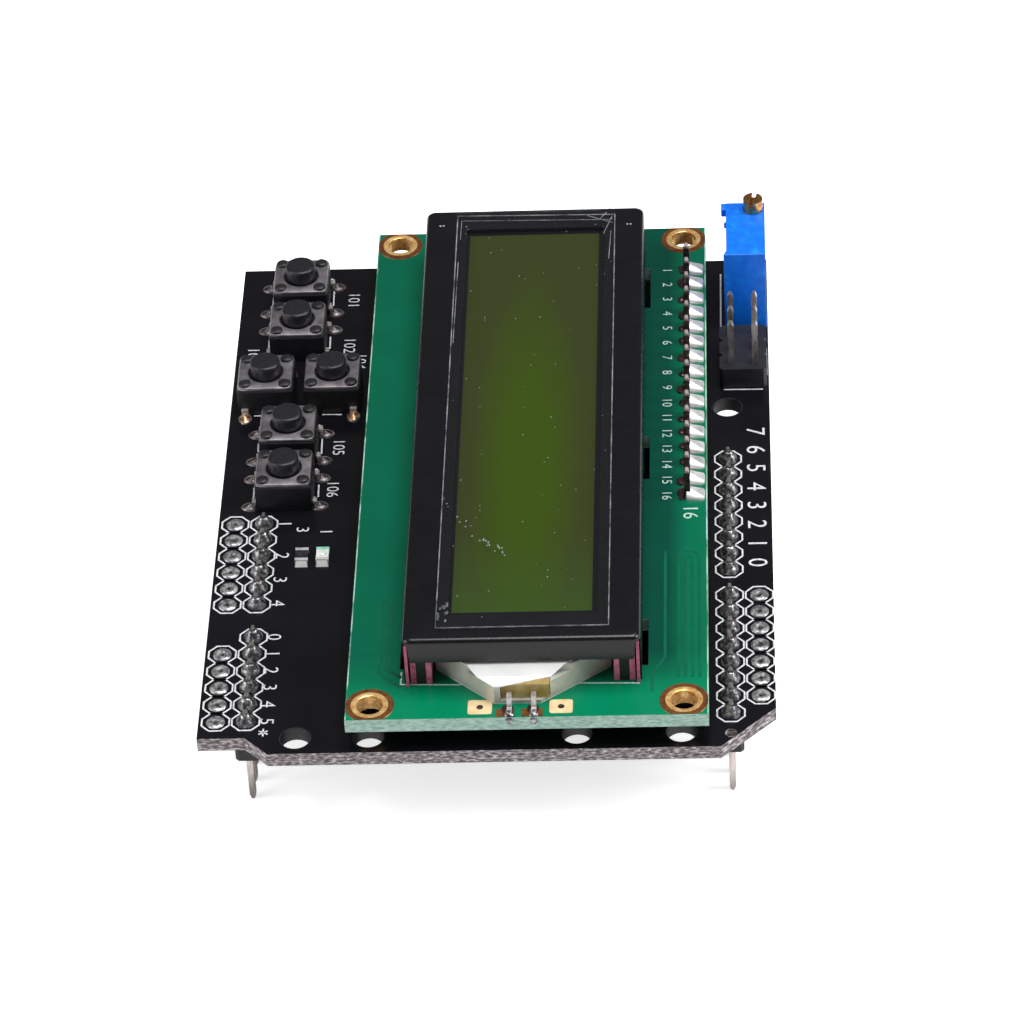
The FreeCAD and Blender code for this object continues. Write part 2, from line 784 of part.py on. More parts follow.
# Broad joints of that row on the display board, sloping out to the board's edge
broad = new_body("lcd_solder_joints", *row_spot, "lcd_face")
slope = new_sketch(broad, plane="XZ_Plane")
polygon(slope, [
    ("-lcd_joint_inner", "0"),
    ("-pin_side / 2", "lcd_joint_tall"),
    ("pin_side / 2", "lcd_joint_tall"),
    ("lcd_joint_outer", "0.1"),
    ("lcd_joint_outer", "0"),
])
wedge = pad(broad, slope, "pin_pitch - lcd_joint_gap", midplane=True)
core = new_sketch(broad)
rectangle(core, "pin_side", "pin_side")
row(broad, [wedge, pocket(broad, core)], "pin_pitch", 16)
pieces.append(broad)

# Solder joints under the carrier board for the display row, programming header and trimmer
under = new_body("underside_solder_joints", z="board_under")
spots = [("lcd_x + lcd_row_x", "lcd_y + lcd_row_y", "pin_side", 16),
         ("prog_x - pin_pitch / 2", "prog_y - pin_pitch", "pin_side", 3),
         ("prog_x + pin_pitch / 2", "prog_y - pin_pitch", "pin_side", 3),
         ("trim_x", "trim_y - pin_pitch", "lead_side", 3)]
for x, y, core_side, count in spots:
    fillet = frustum(under, "joint_top", "joint_wide", "joint_tall", x, y, "-joint_tall")
    core = new_sketch(under)
    rectangle(core, core_side, core_side, x, y)
    row(under, [fillet, pocket(under, core, "joint_tall")], "pin_pitch", count)
pieces.append(under)

# Two drops of black resin over the driver chips, under the display board
blobs = new_body("chip_blobs", "lcd_x", "lcd_y", "lcd_under")
drop = new_sketch(blobs)
for end in "-+":
    many_sided(drop, "blob_wide / 2", 8, "bezel_x", f"{end}blob_place")
pad(blobs, drop, "blob_tall", down=True)
dress(blobs, "Chamfer", "blob_bevel", at_foot)
pieces.append(blobs)

# Bezel: steel sheet drawn into a tray with a window, six tabs through the board and
# short end walls
bezel = new_body("lcd_bezel", "lcd_x + bezel_x", "lcd_y + bezel_y", "lcd_face")
tray = new_sketch(bezel)
rectangle(tray, "bezel_wide", "bezel_long")
pad(bezel, tray, "bezel_tall")
dress(bezel, "Fillet", "bezel_corner", upright)
dress(bezel, "Fillet", "bezel_bend", at_top)
inside = new_sketch(bezel, "bezel_inner")
rectangle(inside, "bezel_wide - 2 * sheet_thick", "bezel_long - 2 * sheet_thick")
pocket(bezel, inside, "bezel_inner")
opening = new_sketch(bezel, "bezel_tall")
rectangle(opening, "window_wide", "window_long", "window_x", "window_y")
pocket(bezel, opening, "2 * sheet_thick")
ends = new_sketch(bezel, "bezel_tall - end_wall")
for end in "-+":
    rectangle(ends, "bezel_wide - 2 * bezel_corner", "4 * sheet_thick",
              y=f"{end}(bezel_long / 2 - sheet_thick / 2)")
pocket(bezel, ends, "bezel_tall - end_wall")
tabs = new_sketch(bezel)
tab_feet = new_sketch(bezel, "-lcd_thick")
for side in "-+":
    rectangle(tabs, "sheet_thick", "tab_long", f"{side}wall_place", "-tab_pitch")
    rectangle(tab_feet, "tab_foot", "tab_long", f"{side}(wall_place - tab_foot / 2 + sheet_thick / 2)",
              "-tab_pitch")
row(bezel, [pad(bezel, tabs, "lcd_thick", down=True), pad(bezel, tab_feet, "sheet_thick", down=True)],
    "tab_pitch", 3)
pieces.append(bezel)


def sheet_piece(label, wide, long, under, thick, x="bezel_x", y="bezel_y"):
    """Flat rectangular piece of the display, at a level above the display board."""
    plate = doc.addObject("Part::Box", label)
    plate.Label = label
    bind(plate, Length=wide, Width=long, Height=thick)
    place(plate, f"lcd_x + {x} - ({wide}) / 2", f"lcd_y + {y} - ({long}) / 2",
          f"lcd_face + {under}")
    return plate


# Display stack, from the front: protective film, polariser, two panes, polariser
pieces.append(sheet_piece("protective_film", "cover_film_wide", "cover_film_long", "bezel_tall",
                          "cover_film_thick", "cover_film_x", "cover_film_y"))
pieces.append(sheet_piece("front_polariser", "polariser_wide", "polariser_long",
                          "front_glass_under + glass_thick", "polariser_thick"))
pieces.append(sheet_piece("front_glass", "front_glass_wide", "front_glass_long",
                          "front_glass_under", "glass_thick"))
pieces.append(sheet_piece("rear_glass", "guide_wide", "rear_glass_long",
                          "rear_glass_under", "glass_thick"))
pieces.append(sheet_piece("rear_polariser", "guide_wide", "polariser_long",
                          "film_stack", "polariser_thick"))

# Elastomer strips that carry the signals from the board up to the front pane
for name, side in (("left_zebra_strip", "-"), ("right_zebra_strip", "+")):
    pieces.append(sheet_piece(name, "zebra_wide", "front_glass_long", "0", "front_glass_under",
                              f"bezel_x {side} (front_glass_wide / 2 - zebra_wide / 2)"))

# Light guide: clear tray with a nose that reaches out from under the bezel to the lamp
nose = [
    ("bezel_x - guide_wide / 2", "guide_far_y"),
    ("bezel_x - guide_wide / 2", "nose_root_y"),
    ("nose_tip_x - nose_tip_wide / 2", "nose_tip_y"),
    ("nose_tip_x + nose_tip_wide / 2", "nose_tip_y"),
    ("bezel_x + guide_wide / 2", "nose_root_y"),
    ("bezel_x + guide_wide / 2", "guide_far_y"),
]
mirror_film = new_body("reflector_film", "lcd_x", "lcd_y", "lcd_face")
outline = new_sketch(mirror_film)
polygon(outline, nose)
pad(mirror_film, outline, "film_thick")
pieces.append(mirror_film)
guide = new_body("light_guide", "lcd_x", "lcd_y", "lcd_face + film_thick")
outline = new_sketch(guide)
polygon(outline, nose)
pad(guide, outline, "guide_thick")
low = new_sketch(guide, "guide_thick")
rectangle(low, "bezel_wide", "bezel_wide", "bezel_x", "nose_top_y - bezel_wide / 2")
pocket(guide, low, "guide_thick - nose_tall")
mouth = new_sketch(guide, "guide_thick")
rectangle(mouth, "lamp_wide + 2 * lamp_ease", "lamp_wide", "lamp_x",
          "lamp_back_y + lamp_ease - lamp_wide / 2")
pocket(guide, mouth, "guide_thick - nose_floor")
pieces.append(guide)

# Diffuser film: lies on the guide and bends down over the nose, with a slanting end
diffuser = new_body("diffuser_film", "lcd_x", "lcd_y", "lcd_face + film_thick")
bend = "(guide_thick - nose_tall)"
side_view = new_sketch(diffuser, "bezel_x", "YZ_Plane")
polygon(side_view, [
    ("guide_far_y", "guide_thick"),
    ("nose_top_y + film_ease", "guide_thick"),
    (f"nose_top_y - {bend}", "nose_tall"),
    ("nose_tip_y", "nose_tall"),
    ("nose_tip_y", "nose_tall + film_thick"),
    (f"nose_top_y - {bend}", "nose_tall + film_thick"),
    ("nose_top_y + film_ease", "guide_thick + film_thick"),
    ("guide_far_y", "guide_thick + film_thick"),
])
pad(diffuser, side_view, "guide_wide", midplane=True)
trim = new_sketch(diffuser, "guide_thick + cut_past")
left, right = "bezel_x - guide_wide / 2", "bezel_x + guide_wide / 2"
polygon(trim, [
    (f"{left} - cut_past", "nose_root_y"),
    (left, "nose_root_y"),
    ("nose_tip_x - nose_tip_wide / 2", "nose_tip_y"),
    ("lamp_x - lamp_wide / 2", "nose_tip_y"),
    ("lamp_x + lamp_wide / 2", "nose_tip_y + film_slant"),
    (right, "nose_root_y"),
    (f"{right} + cut_past", "nose_root_y"),
    (f"{right} + cut_past", "nose_tip_y - cut_past"),
    (f"{left} - cut_past", "nose_tip_y - cut_past"),
])
pocket(diffuser, trim, "guide_thick + 2 * cut_past")
pieces.append(diffuser)

# Backlight lamp in the mouth of the nose, and its two leads down to the board
package = doc.addObject("Part::Box", "backlight_led")
package.Label = "backlight_led"
bind(package, Length="lamp_wide", Width="lamp_deep", Height="nose_tall - nose_floor")
place(package, "lcd_x + lamp_x - lamp_wide / 2", "lcd_y + lamp_back_y - lamp_deep",
      "lcd_face + film_thick + nose_floor")
pieces.append(package)
lamp_leads = new_body("backlight_leads", "lcd_x + lamp_x", "lcd_y", "lcd_face")
front = "lamp_back_y - lamp_deep"
for side in "-+":
    bent = new_sketch(lamp_leads, f"-lead_offset {side} lead_gap / 2", "YZ_Plane")
    polygon(bent, [
        (front, "lead_exit"),
        (f"{front} - lead_bend - lead_thick", "lead_exit"),
        (f"{front} - lead_bend - lead_thick - lead_fall", "lead_thick"),
        ("lead_foot_y", "lead_thick"),
        ("lead_foot_y", "0"),
        (f"{front} - lead_bend - lead_fall", "0"),
        (f"{front} - lead_bend", "lead_exit - lead_thick"),
        (front, "lead_exit - lead_thick"),
    ])
    pad(lamp_leads, bent, "lead_wide", midplane=True)
pieces.append(lamp_leads)

doc.recompute()
for thing in doc.Objects:
    if {"Invalid", "Error"} & set(thing.State):
        raise RuntimeError(f"{thing.Label} did not recompute: {thing.State}")
os.makedirs("parts", exist_ok=True)
for piece in pieces:
    shape = piece.Shape
    if shape.isNull() or not shape.isValid():
        raise RuntimeError(f"{piece.Label} has no valid shape")
    shape.exportStep(f"parts/{piece.Label}.step")
print(f"{len(pieces)} pieces written")
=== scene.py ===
"""The looks of a two-line character display on a plug-in carrier board with push buttons.

Sizes are in millimetres in the frame of the solids, +Z out of the display's face.
Each mesh is scaled to metres when it is finished.
"""

import math
import random

import bmesh
import bpy
from mathutils import Matrix, Vector


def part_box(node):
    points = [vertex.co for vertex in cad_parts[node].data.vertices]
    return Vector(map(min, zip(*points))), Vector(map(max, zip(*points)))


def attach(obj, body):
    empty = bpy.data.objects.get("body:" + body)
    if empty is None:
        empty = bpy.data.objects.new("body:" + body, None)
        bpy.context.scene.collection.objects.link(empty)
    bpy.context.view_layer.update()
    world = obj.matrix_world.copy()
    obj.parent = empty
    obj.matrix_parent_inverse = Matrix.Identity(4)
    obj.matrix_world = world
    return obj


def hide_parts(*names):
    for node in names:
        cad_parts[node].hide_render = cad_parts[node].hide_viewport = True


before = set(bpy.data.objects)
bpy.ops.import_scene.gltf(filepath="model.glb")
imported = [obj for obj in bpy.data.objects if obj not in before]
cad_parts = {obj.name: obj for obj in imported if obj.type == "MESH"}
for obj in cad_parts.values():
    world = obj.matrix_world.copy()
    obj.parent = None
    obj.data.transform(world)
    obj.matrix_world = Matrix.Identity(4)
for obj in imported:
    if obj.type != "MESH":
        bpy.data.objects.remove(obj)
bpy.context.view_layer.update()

# Studio: a pale floor at the level of the pin tips, a dim room and three soft lamps.
# The far side stays dark, so that the glossy boards show their own colour to the camera.
METRE = 0.001


def linear(code):
    """Turn an sRGB hex colour into a linear one."""
    channels = [int(code[k:k + 2], 16) / 255 for k in (1, 3, 5)]
    return tuple(c / 12.92 if c <= 0.04045 else ((c + 0.055) / 1.055) ** 2.4
                 for c in channels) + (1.0,)


def add(tree, kind, links=None, stops=(), **settings):
    """Add a node with its settings and colour stops. An input takes a value, output or node."""
    made = tree.nodes.new(kind)
    for name, setting in settings.items():
        socket = made.inputs.get(name.replace("_", " ").title())
        if hasattr(made, name) and (socket is None or name in ("operation", "mode")):
            setattr(made, name, setting)
        else:
            socket.default_value = setting
    for name, source in (links or {}).items():
        if isinstance(source, bpy.types.Node):
            source = source.outputs[0]
        if isinstance(source, bpy.types.NodeSocket):
            tree.links.new(source, made.inputs[name])
        else:
            made.inputs[name].default_value = source
    if stops:
        band = made.color_ramp.elements
        while len(band) < len(stops):
            band.new(1.0)
        for element, (where, code) in zip(band, stops):
            element.position, element.color = where, linear(code)
    return made


def new_finish(name):
    """Start a material with one shader, and give its tree, shader and object coordinates."""
    material = bpy.data.materials.new(name)
    material.use_nodes = True
    tree = material.node_tree
    shader = tree.nodes["Principled BSDF"]
    place = tree.nodes.new("ShaderNodeTexCoord")
    return material, tree, shader, place.outputs["Object"]


floor_mesh = bpy.data.meshes.new("floor")
reach = 3.0
under_tips = -0.02 * METRE
floor_mesh.from_pydata([(x * reach, y * reach, under_tips) for x,
                        y in ((-1, -1), (1, -1), (1, 1), (-1, 1))], [], [(0, 1, 2, 3)])
floor = bpy.data.objects.new("floor", floor_mesh)
bpy.context.scene.collection.objects.link(floor)
paper, tree, shader, place = new_finish("white_paper")
shader.inputs["Base Color"].default_value = linear("#f4f4f4")
shader.inputs["Roughness"].default_value = 0.9
seen = add(tree, "ShaderNodeLightPath")
glow = add(tree, "ShaderNodeMath", {0: seen.outputs["Is Camera Ray"], 1: 0.74},
           operation="MULTIPLY")
shader.inputs["Emission Color"].default_value = (1, 1, 1, 1)
tree.links.new(glow.outputs["Value"], shader.inputs["Emission Strength"])
# From below the paper is clear, so that the underside of the part can be looked at.
below = add(tree, "ShaderNodeNewGeometry")
clear = add(tree, "ShaderNodeBsdfTransparent")
sides = add(tree, "ShaderNodeMixShader", {0: below.outputs["Backfacing"],
        1: shader.outputs["BSDF"], 2: clear.outputs["BSDF"]})
tree.links.new(sides.outputs["Shader"], tree.nodes["Material Output"].inputs["Surface"])
floor_mesh.materials.append(paper)

world = bpy.data.worlds.new("room")
world.use_nodes = True
bpy.context.scene.world = world
world.node_tree.nodes["Background"].inputs["Color"].default_value = (1, 1, 1, 1)
world.node_tree.nodes["Background"].inputs["Strength"].default_value = 0.15
bpy.context.scene.view_settings.view_transform = "Standard"


def softbox(name, watts, side, spot, target=(0, 0, 0.01)):
    lamp = bpy.data.lights.new(name, "AREA")
    lamp.energy = watts
    lamp.size = side
    holder = bpy.data.objects.new(name, lamp)
    bpy.context.scene.collection.objects.link(holder)
    away = (Vector(spot) - Vector(target)).to_track_quat("Z", "Y")
    holder.matrix_world = Matrix.Translation(spot) @ away.to_matrix().to_4x4()


softbox("overhead_lamp", 4.2, 0.42, (0.12, 0.02, 0.75))
softbox("right_lamp", 3.0, 0.30, (0.62, -0.05, 0.40))
softbox("left_lamp", 2.0, 0.40, (-0.60, -0.20, 0.36))

# Camera: a long lens about half a metre away, solved from the pitch of the pin rows in the
# photograph. Distances are in millimetres from the point it was solved about.
AZIMUTH, ELEVATION, ROLL = 0.0652536, 0.6951062, -0.0621473
DISTANCE, FOCAL_PIXELS, FRAME_PIXELS = 532.705, 5184.547, 1010
SHIFT_RIGHT, SHIFT_UP = 1.113079, 6.012556
aim = Vector((0.14, -11.4, 10.1))
backward = Vector((math.sin(AZIMUTH) * math.cos(ELEVATION),
                   -math.cos(AZIMUTH) * math.cos(ELEVATION), math.sin(ELEVATION)))
level = Vector((math.cos(AZIMUTH), math.sin(AZIMUTH), 0))
upward = backward.cross(level)
right = math.cos(ROLL) * level + math.sin(ROLL) * upward
above = -math.sin(ROLL) * level + math.cos(ROLL) * upward
stand = aim + right * SHIFT_RIGHT + above * SHIFT_UP + backward * DISTANCE
lens = bpy.data.cameras.new("photo_camera")
lens.sensor_width = 36
lens.sensor_fit = "HORIZONTAL"
lens.lens = FOCAL_PIXELS * lens.sensor_width / FRAME_PIXELS
lens.clip_start = 0.01
camera = bpy.data.objects.new("photo_camera", lens)
bpy.context.scene.collection.objects.link(camera)
camera.matrix_world = (Matrix.Translation(stand * METRE) @ Matrix((right, above,
        backward)).transposed().to_4x4())
bpy.context.scene.camera = camera

# Carrier board: glass-fibre laminate under glossy black solder mask, routed to its outline.
# The mask is on its faces only, and the routed edge shows grey resin with pale glass flecks.
BOARD_FACE, BOARD_BACK = 10.1, 8.5


def mottle(tree, place, size_mm, stops=(), detail=3.0, stretch=(1.0, 1.0, 1.0)):
    """Blotches of about one size on the real piece: their strength, or a colour for it."""
    scaled = add(tree, "ShaderNodeMapping", {"Vector": place},
                 scale=[s / (METRE * size_mm) for s in stretch])
    blotches = add(tree, "ShaderNodeTexNoise", {"Vector": scaled}, scale=1.0,
                   detail=detail).outputs["Fac"]
    if not stops:
        return blotches
    return add(tree, "ShaderNodeValToRGB", {"Fac": blotches}, stops).outputs["Color"]


def mottled(name, size_mm, stops, rough=0.5, bump=None, detail=3.0, stretch=(1.0, 1.0, 1.0),
            **sockets):
    """Make a whole finish: mottled colour, then roughness and height in blotches of their own."""
    material, tree, shader, place = new_finish(name)
    tree.links.new(mottle(tree, place, size_mm, stops, detail, stretch),
                   shader.inputs["Base Color"])
    if isinstance(rough, tuple):
        blotch_mm, least, most, *kind = rough
        spread = add(tree, "ShaderNodeMapRange", {"Value": mottle(tree, place, blotch_mm, (),
                *kind)}, to_min=least, to_max=most)
        tree.links.new(spread.outputs["Result"], shader.inputs["Roughness"])
    else:
        shader.inputs["Roughness"].default_value = rough
    if bump:
        blotch_mm, deep_mm = bump
        raised = add(tree, "ShaderNodeBump", {"Height": mottle(tree, place, blotch_mm)},
                     strength=1.0, distance=METRE * deep_mm)
        tree.links.new(raised.outputs["Normal"], shader.inputs["Normal"])
    for socket, setting in sockets.items():
        shader.inputs[socket.replace("_", " ").title()].default_value = setting
    return material


def blend_in(material, share, other):
    """Mix another colour into a finish's own, by a share from 0 to 1."""
    tree = material.node_tree
    base = tree.nodes["Principled BSDF"].inputs["Base Color"]
    other = linear(other) if isinstance(other, str) else other
    mixed = add(tree, "ShaderNodeMix", {"Factor": share, 6: base.links[0].from_socket, 7: other},
                data_type="RGBA")
    tree.links.new(mixed.outputs[2], base)


def dress(node_name, material):
    """Give a solid of the frame its material."""
    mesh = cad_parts[node_name].data
    mesh.materials.clear()
    mesh.materials.append(material)


def laminate(name, mask, edge, mask_rough, mask_height):
    """Solder mask on the faces and bare laminate on the edges of a board."""
    material = mottled(name, 0.32, edge, bump=mask_height, stretch=(0.5, 0.5, 1.5))
    tree = material.node_tree
    shader, texture = tree.nodes["Principled BSDF"], tree.nodes["Texture Coordinate"]
    tilt = add(tree, "ShaderNodeSeparateXYZ", {"Vector": texture.outputs["Normal"]})
    flat = add(tree, "ShaderNodeMath", {0: tilt.outputs["Z"]}, operation="ABSOLUTE")
    on_face = add(tree, "ShaderNodeMath", {0: flat, 1: 0.5}, operation="GREATER_THAN")
    blend_in(material, on_face, mask(tree, texture.outputs["Object"]))
    rough = add(tree, "ShaderNodeMapRange", {"Value": on_face}, to_min=0.75, to_max=mask_rough)
    tree.links.new(rough.outputs["Result"], shader.inputs["Roughness"])
    shader.inputs["Specular IOR Level"].default_value = 0.25
    return material


def black_mask(tree, place):
    return mottle(tree, place, 6.0, [(0.3, "#0e0d12"), (0.7, "#15141a")])


dress("main_board", laminate("black_solder_mask_on_laminate", black_mask,
                             [(0.38, "#5b5659"), (0.50, "#8d8587"), (0.60, "#c4babb"),
                              (0.70, "#f2e9ea")], 0.24, (0.9, 0.004)))

# Screw and spacer holes of the carrier: bored through the laminate before the mask is printed,
# so that the black mask runs over their rims and down their walls.
SCREW_Y, SIDE_SCREW, SPACER_X, SPACER_HALF = -37.44, (24.27, 13.36), 3.88, 15.5
BORE, WALL_RADIUS = 1.52, 1.62


def put(name, shape, finishes, slot, *nodes, body="module", smooth=None):
    """Finish a piece: its mesh, its materials, its body and the nodes it stands for. The slot is
    not used.
    """
    mesh = to_mesh(name, shape, smooth) if isinstance(shape, bmesh.types.BMesh) else shape
    for finish in finishes if isinstance(finishes, tuple) else (finishes,):
        mesh.materials.append(finish)
    piece = bpy.data.objects.new(name, mesh)
    bpy.context.scene.collection.objects.link(piece)
    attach(piece, body)
    if nodes:
        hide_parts(*nodes)
    return piece


def to_mesh(name, bm, smooth_degrees=None):
    """Turn drawn faces in millimetres into a mesh in metres whose faces point outwards."""
    bmesh.ops.recalc_face_normals(bm, faces=bm.faces)
    bmesh.ops.scale(bm, vec=(METRE,) * 3, verts=bm.verts)
    mesh = bpy.data.meshes.new(name)
    bm.to_mesh(mesh)
    bm.free()
    if smooth_degrees:
        mesh.shade_smooth()
        mesh.set_sharp_from_angle(angle=math.radians(smooth_degrees))
    return mesh


def loft(bm, rings, closed=False, slot=0):
    """Skin rings of equal count, and cap the ends unless the rings close on themselves."""
    drawn = [[bm.verts.new(point) for point in ring] for ring in rings]
    count = len(rings[0])
    pairs = list(zip(drawn, drawn[1:]))
    if closed:
        pairs.append((drawn[-1], drawn[0]))
    for lower, upper in pairs:
        for k in range(count):
            face = bm.faces.new((lower[k], lower[(k + 1) % count], upper[(k + 1) % count],
                                 upper[k]))
            face.material_index = slot
    if not closed:
        for ring in (drawn[0], drawn[-1]):
            bm.faces.new(ring).material_index = slot


def turned(bm, profile, x, y, sides=24, closed=False, slot=0, long=1.0):
    """Turn a profile of radius and height about an upright axis."""
    turns = [(math.cos(math.tau * k / sides), math.sin(math.tau * k / sides))
             for k in range(sides)]
    loft(bm, [[(x + r * c, y + r * s * long, z) for c, s in turns] for r, z in profile], closed,
         slot)


bm = bmesh.new()
for x, y in ((-18.91, SCREW_Y), (9.03, SCREW_Y), SIDE_SCREW, (SPACER_X - SPACER_HALF, SCREW_Y),
             (SPACER_X + SPACER_HALF, SCREW_Y)):
    turned(bm, [(BORE, BOARD_BACK), (BORE, BOARD_FACE + 0.01), (WALL_RADIUS, BOARD_FACE + 0.01),
                (WALL_RADIUS, BOARD_BACK)], x, y, 40, closed=True)
hole_mask = mottled("mask_in_bored_hole", 0.8, [(0.3, "#101015"), (0.7, "#26252a")], rough=0.4)
put("bored_hole_walls", bm, hole_mask, "black_board", smooth=40)

# Carrier silkscreen: white ink printed on the mask, octagons round the pads, outlines of the
# buttons and small parts, and plain numbers where the real board has its lettering.
INK_TOP = BOARD_FACE + 0.03


def prism(bm, outline, low, high, slot=0):
    loft(bm, [[(x, y, z) for x, y in outline] for z in (low, high)], slot=slot)


def block(bm, x_range, y_range, z_range, slot=0):
    (x0, x1), (y0, y1) = x_range, y_range
    prism(bm, [(x0, y0), (x1, y0), (x1, y1), (x0, y1)], *z_range, slot=slot)


def line(bm, points, wide, low, high, closed=False):
    """Lay a flat line of one width through points, with mitred corners."""
    spots = [Vector(point) for point in points]
    count = len(spots)
    rings = []
    for k, spot in enumerate(spots):
        before = spots[k - 1] if closed or k else spot
        after = spots[(k + 1) % count] if closed or k < count - 1 else spot
        runs = [run.normalized() for run in (spot - before, after - spot) if run.length]
        run = sum(runs, Vector((0, 0))).normalized()
        side = Vector((-run.y, run.x)) * wide / 2 / max(0.3, run.dot(runs[0]))
        left, right = spot + side, spot - side
        rings.append([(left.x, left.y, low), (right.x, right.y, low), (right.x, right.y, high),
                      (left.x, left.y, high)])
    loft(bm, rings, closed)


def row_tree():
    """Geometry Nodes that repeat a shape along Y: named inputs, real instances, a material."""
    tree = bpy.data.node_groups.new("repeat_at_pitch", "GeometryNodeTree")
    face = tree.interface
    face.new_socket("Geometry", in_out="INPUT", socket_type="NodeSocketGeometry")
    face.new_socket("Count", in_out="INPUT", socket_type="NodeSocketInt")
    face.new_socket("First place", in_out="INPUT", socket_type="NodeSocketVector")
    face.new_socket("Pitch", in_out="INPUT", socket_type="NodeSocketFloat")
    face.new_socket("Finish", in_out="INPUT", socket_type="NodeSocketMaterial")
    face.new_socket("Geometry", in_out="OUTPUT", socket_type="NodeSocketGeometry")
    given, result = tree.nodes.new("NodeGroupInput"), tree.nodes.new("NodeGroupOutput")
    step = add(tree, "ShaderNodeCombineXYZ", {"Y": given.outputs["Pitch"]})
    places = add(tree, "GeometryNodeMeshLine", {"Count": given.outputs["Count"],
            "Start Location": given.outputs["First place"], "Offset": step})
    repeat = add(tree, "GeometryNodeInstanceOnPoints", {"Points": places,
            "Instance": given.outputs["Geometry"]})
    real = add(tree, "GeometryNodeRealizeInstances", {"Geometry": repeat})
    finish = add(tree, "GeometryNodeSetMaterial", {"Geometry": real,
            "Material": given.outputs["Finish"]})
    tree.links.new(finish.outputs["Geometry"], result.inputs["Geometry"])
    return tree


repeat_at_pitch = row_tree()
PITCH = 2.54


def rows(name, shape, material, runs, slot, *nodes, smooth=None):
    """Repeat a shape drawn at the origin along runs of (x, y, z, count), as one piece."""
    total = bmesh.new()
    for x, y, z, count in runs:
        source = bpy.data.objects.new(f"{name}_one", shape)
        bpy.context.scene.collection.objects.link(source)
        modifier = source.modifiers.new("repeat", "NODES")
        modifier.node_group = repeat_at_pitch
        inputs = {item.name: item.identifier
                  for item in repeat_at_pitch.interface.items_tree if item.in_out == "INPUT"}
        modifier[inputs["Count"]] = count
        modifier[inputs["First place"]] = (x * METRE, y * METRE, z * METRE)
        modifier[inputs["Pitch"]] = PITCH * METRE
        modifier[inputs["Finish"]] = material
        ready = source.evaluated_get(bpy.context.evaluated_depsgraph_get())
        baked = bpy.data.meshes.new_from_object(ready)
        total.from_mesh(baked)
        source.modifiers.remove(modifier)
        bpy.data.objects.remove(source)
        bpy.data.meshes.remove(baked)
    mesh = bpy.data.meshes.new(name)
    total.to_mesh(mesh)
    total.free()
    if smooth:
        mesh.shade_smooth()
        mesh.set_sharp_from_angle(angle=math.radians(smooth))
    put(name, mesh, material, slot, *nodes)


ink_material = mottled("white_silkscreen_ink", 0.35, [(0.3, "#b9b9bf"), (0.5, "#e2e2e6"),
        (0.7, "#f4f4f6")], rough=0.6)

OCTAGON_WIDE, OCTAGON_CUT, INK_LINE = 2.75, 0.78, 0.17
across, up = OCTAGON_WIDE / 2, PITCH / 2
bm = bmesh.new()
corners = [(across, -up + OCTAGON_CUT), (across, up - OCTAGON_CUT), (across - OCTAGON_CUT, up),
           (-across + OCTAGON_CUT, up), (-across, up - OCTAGON_CUT), (-across, -up + OCTAGON_CUT),
           (-across + OCTAGON_CUT, -up), (across - OCTAGON_CUT, -up)]
line(bm, corners, INK_LINE, 0, 0.03, closed=True)
octagon = to_mesh("octagon", bm)
LEFT_ROW, RIGHT_ROW, LEFT_SPARE, RIGHT_SPARE = -23.99, 24.27, -27.01, 27.29
POWER_Y, NEAR_Y, HIGH_Y, SPARE_Y = -17.12, -34.9, -13.056, -32.36
PIN_ROWS = [(LEFT_ROW, POWER_Y, 6), (LEFT_ROW, NEAR_Y, 6), (RIGHT_ROW, NEAR_Y, 8),
            (RIGHT_ROW, HIGH_Y, 8)]
SPARE_ROWS = [(LEFT_SPARE, POWER_Y, 6), (LEFT_SPARE, NEAR_Y, 5), (RIGHT_SPARE, SPARE_Y, 7)]
rows("carrier_pad_outlines", octagon, ink_material, [(x, y, BOARD_FACE, count)
        for x, y, count in PIN_ROWS + SPARE_ROWS], "black_board")


def number(bm, text, tall, x, y, z, turn=0.0, thick=0.02, thin=-0.01):
    """Draw a plain number, centred, with its foot turned by an angle in degrees."""
    words = bpy.data.curves.new("number", "FONT")
    words.body = text
    words.size = tall * 1.35 * METRE
    words.extrude = thick * METRE
    words.offset = thin * METRE
    words.align_x, words.align_y = "CENTER", "CENTER"
    words.resolution_u = 3
    holder = bpy.data.objects.new("number", words)
    bpy.context.scene.collection.objects.link(holder)
    ready = holder.evaluated_get(bpy.context.evaluated_depsgraph_get())
    shape = bpy.data.meshes.new_from_object(ready)
    shape.transform(Matrix.Scale(1 / METRE, 4))
    shape.transform(Matrix.Translation((x, y, z)) @ Matrix.Rotation(math.radians(turn), 4, "Z"))
    bm.from_mesh(shape)
    bpy.data.objects.remove(holder)
    bpy.data.meshes.remove(shape)


bm = bmesh.new()
# The rows and buttons are numbered down the board, to be read with the pins at the left.
for text, y in (("1", -4.4), ("2", -9.5), ("3", -13.3), ("4", -17.0)):
    number(bm, text, 1.5, -21.9, y, BOARD_FACE, -90)
for k, text in enumerate("012345"):
    number(bm, text, 1.5, -21.95, NEAR_Y + PITCH * (5 - k), BOARD_FACE, -90)
for text, x, y in (("101", -16.5, 33.4), ("102", -16.6, 25.4), ("103", -27.0, 24.0),
                   ("104", -15.3, 22.6), ("105", -16.9, 8.0), ("106", -17.2, 1.1)):
    number(bm, text, 1.35, x, y, BOARD_FACE, -90)
number(bm, "3", 1.4, -20.0, -5.4, BOARD_FACE, -90)
number(bm, "1", 1.4, -17.5, -5.8, BOARD_FACE, -90)
for k in range(8):
    number(bm, str(k), 2.1, 27.1, HIGH_Y + PITCH * k + 1.0 + 0.5 * k, BOARD_FACE, -90)
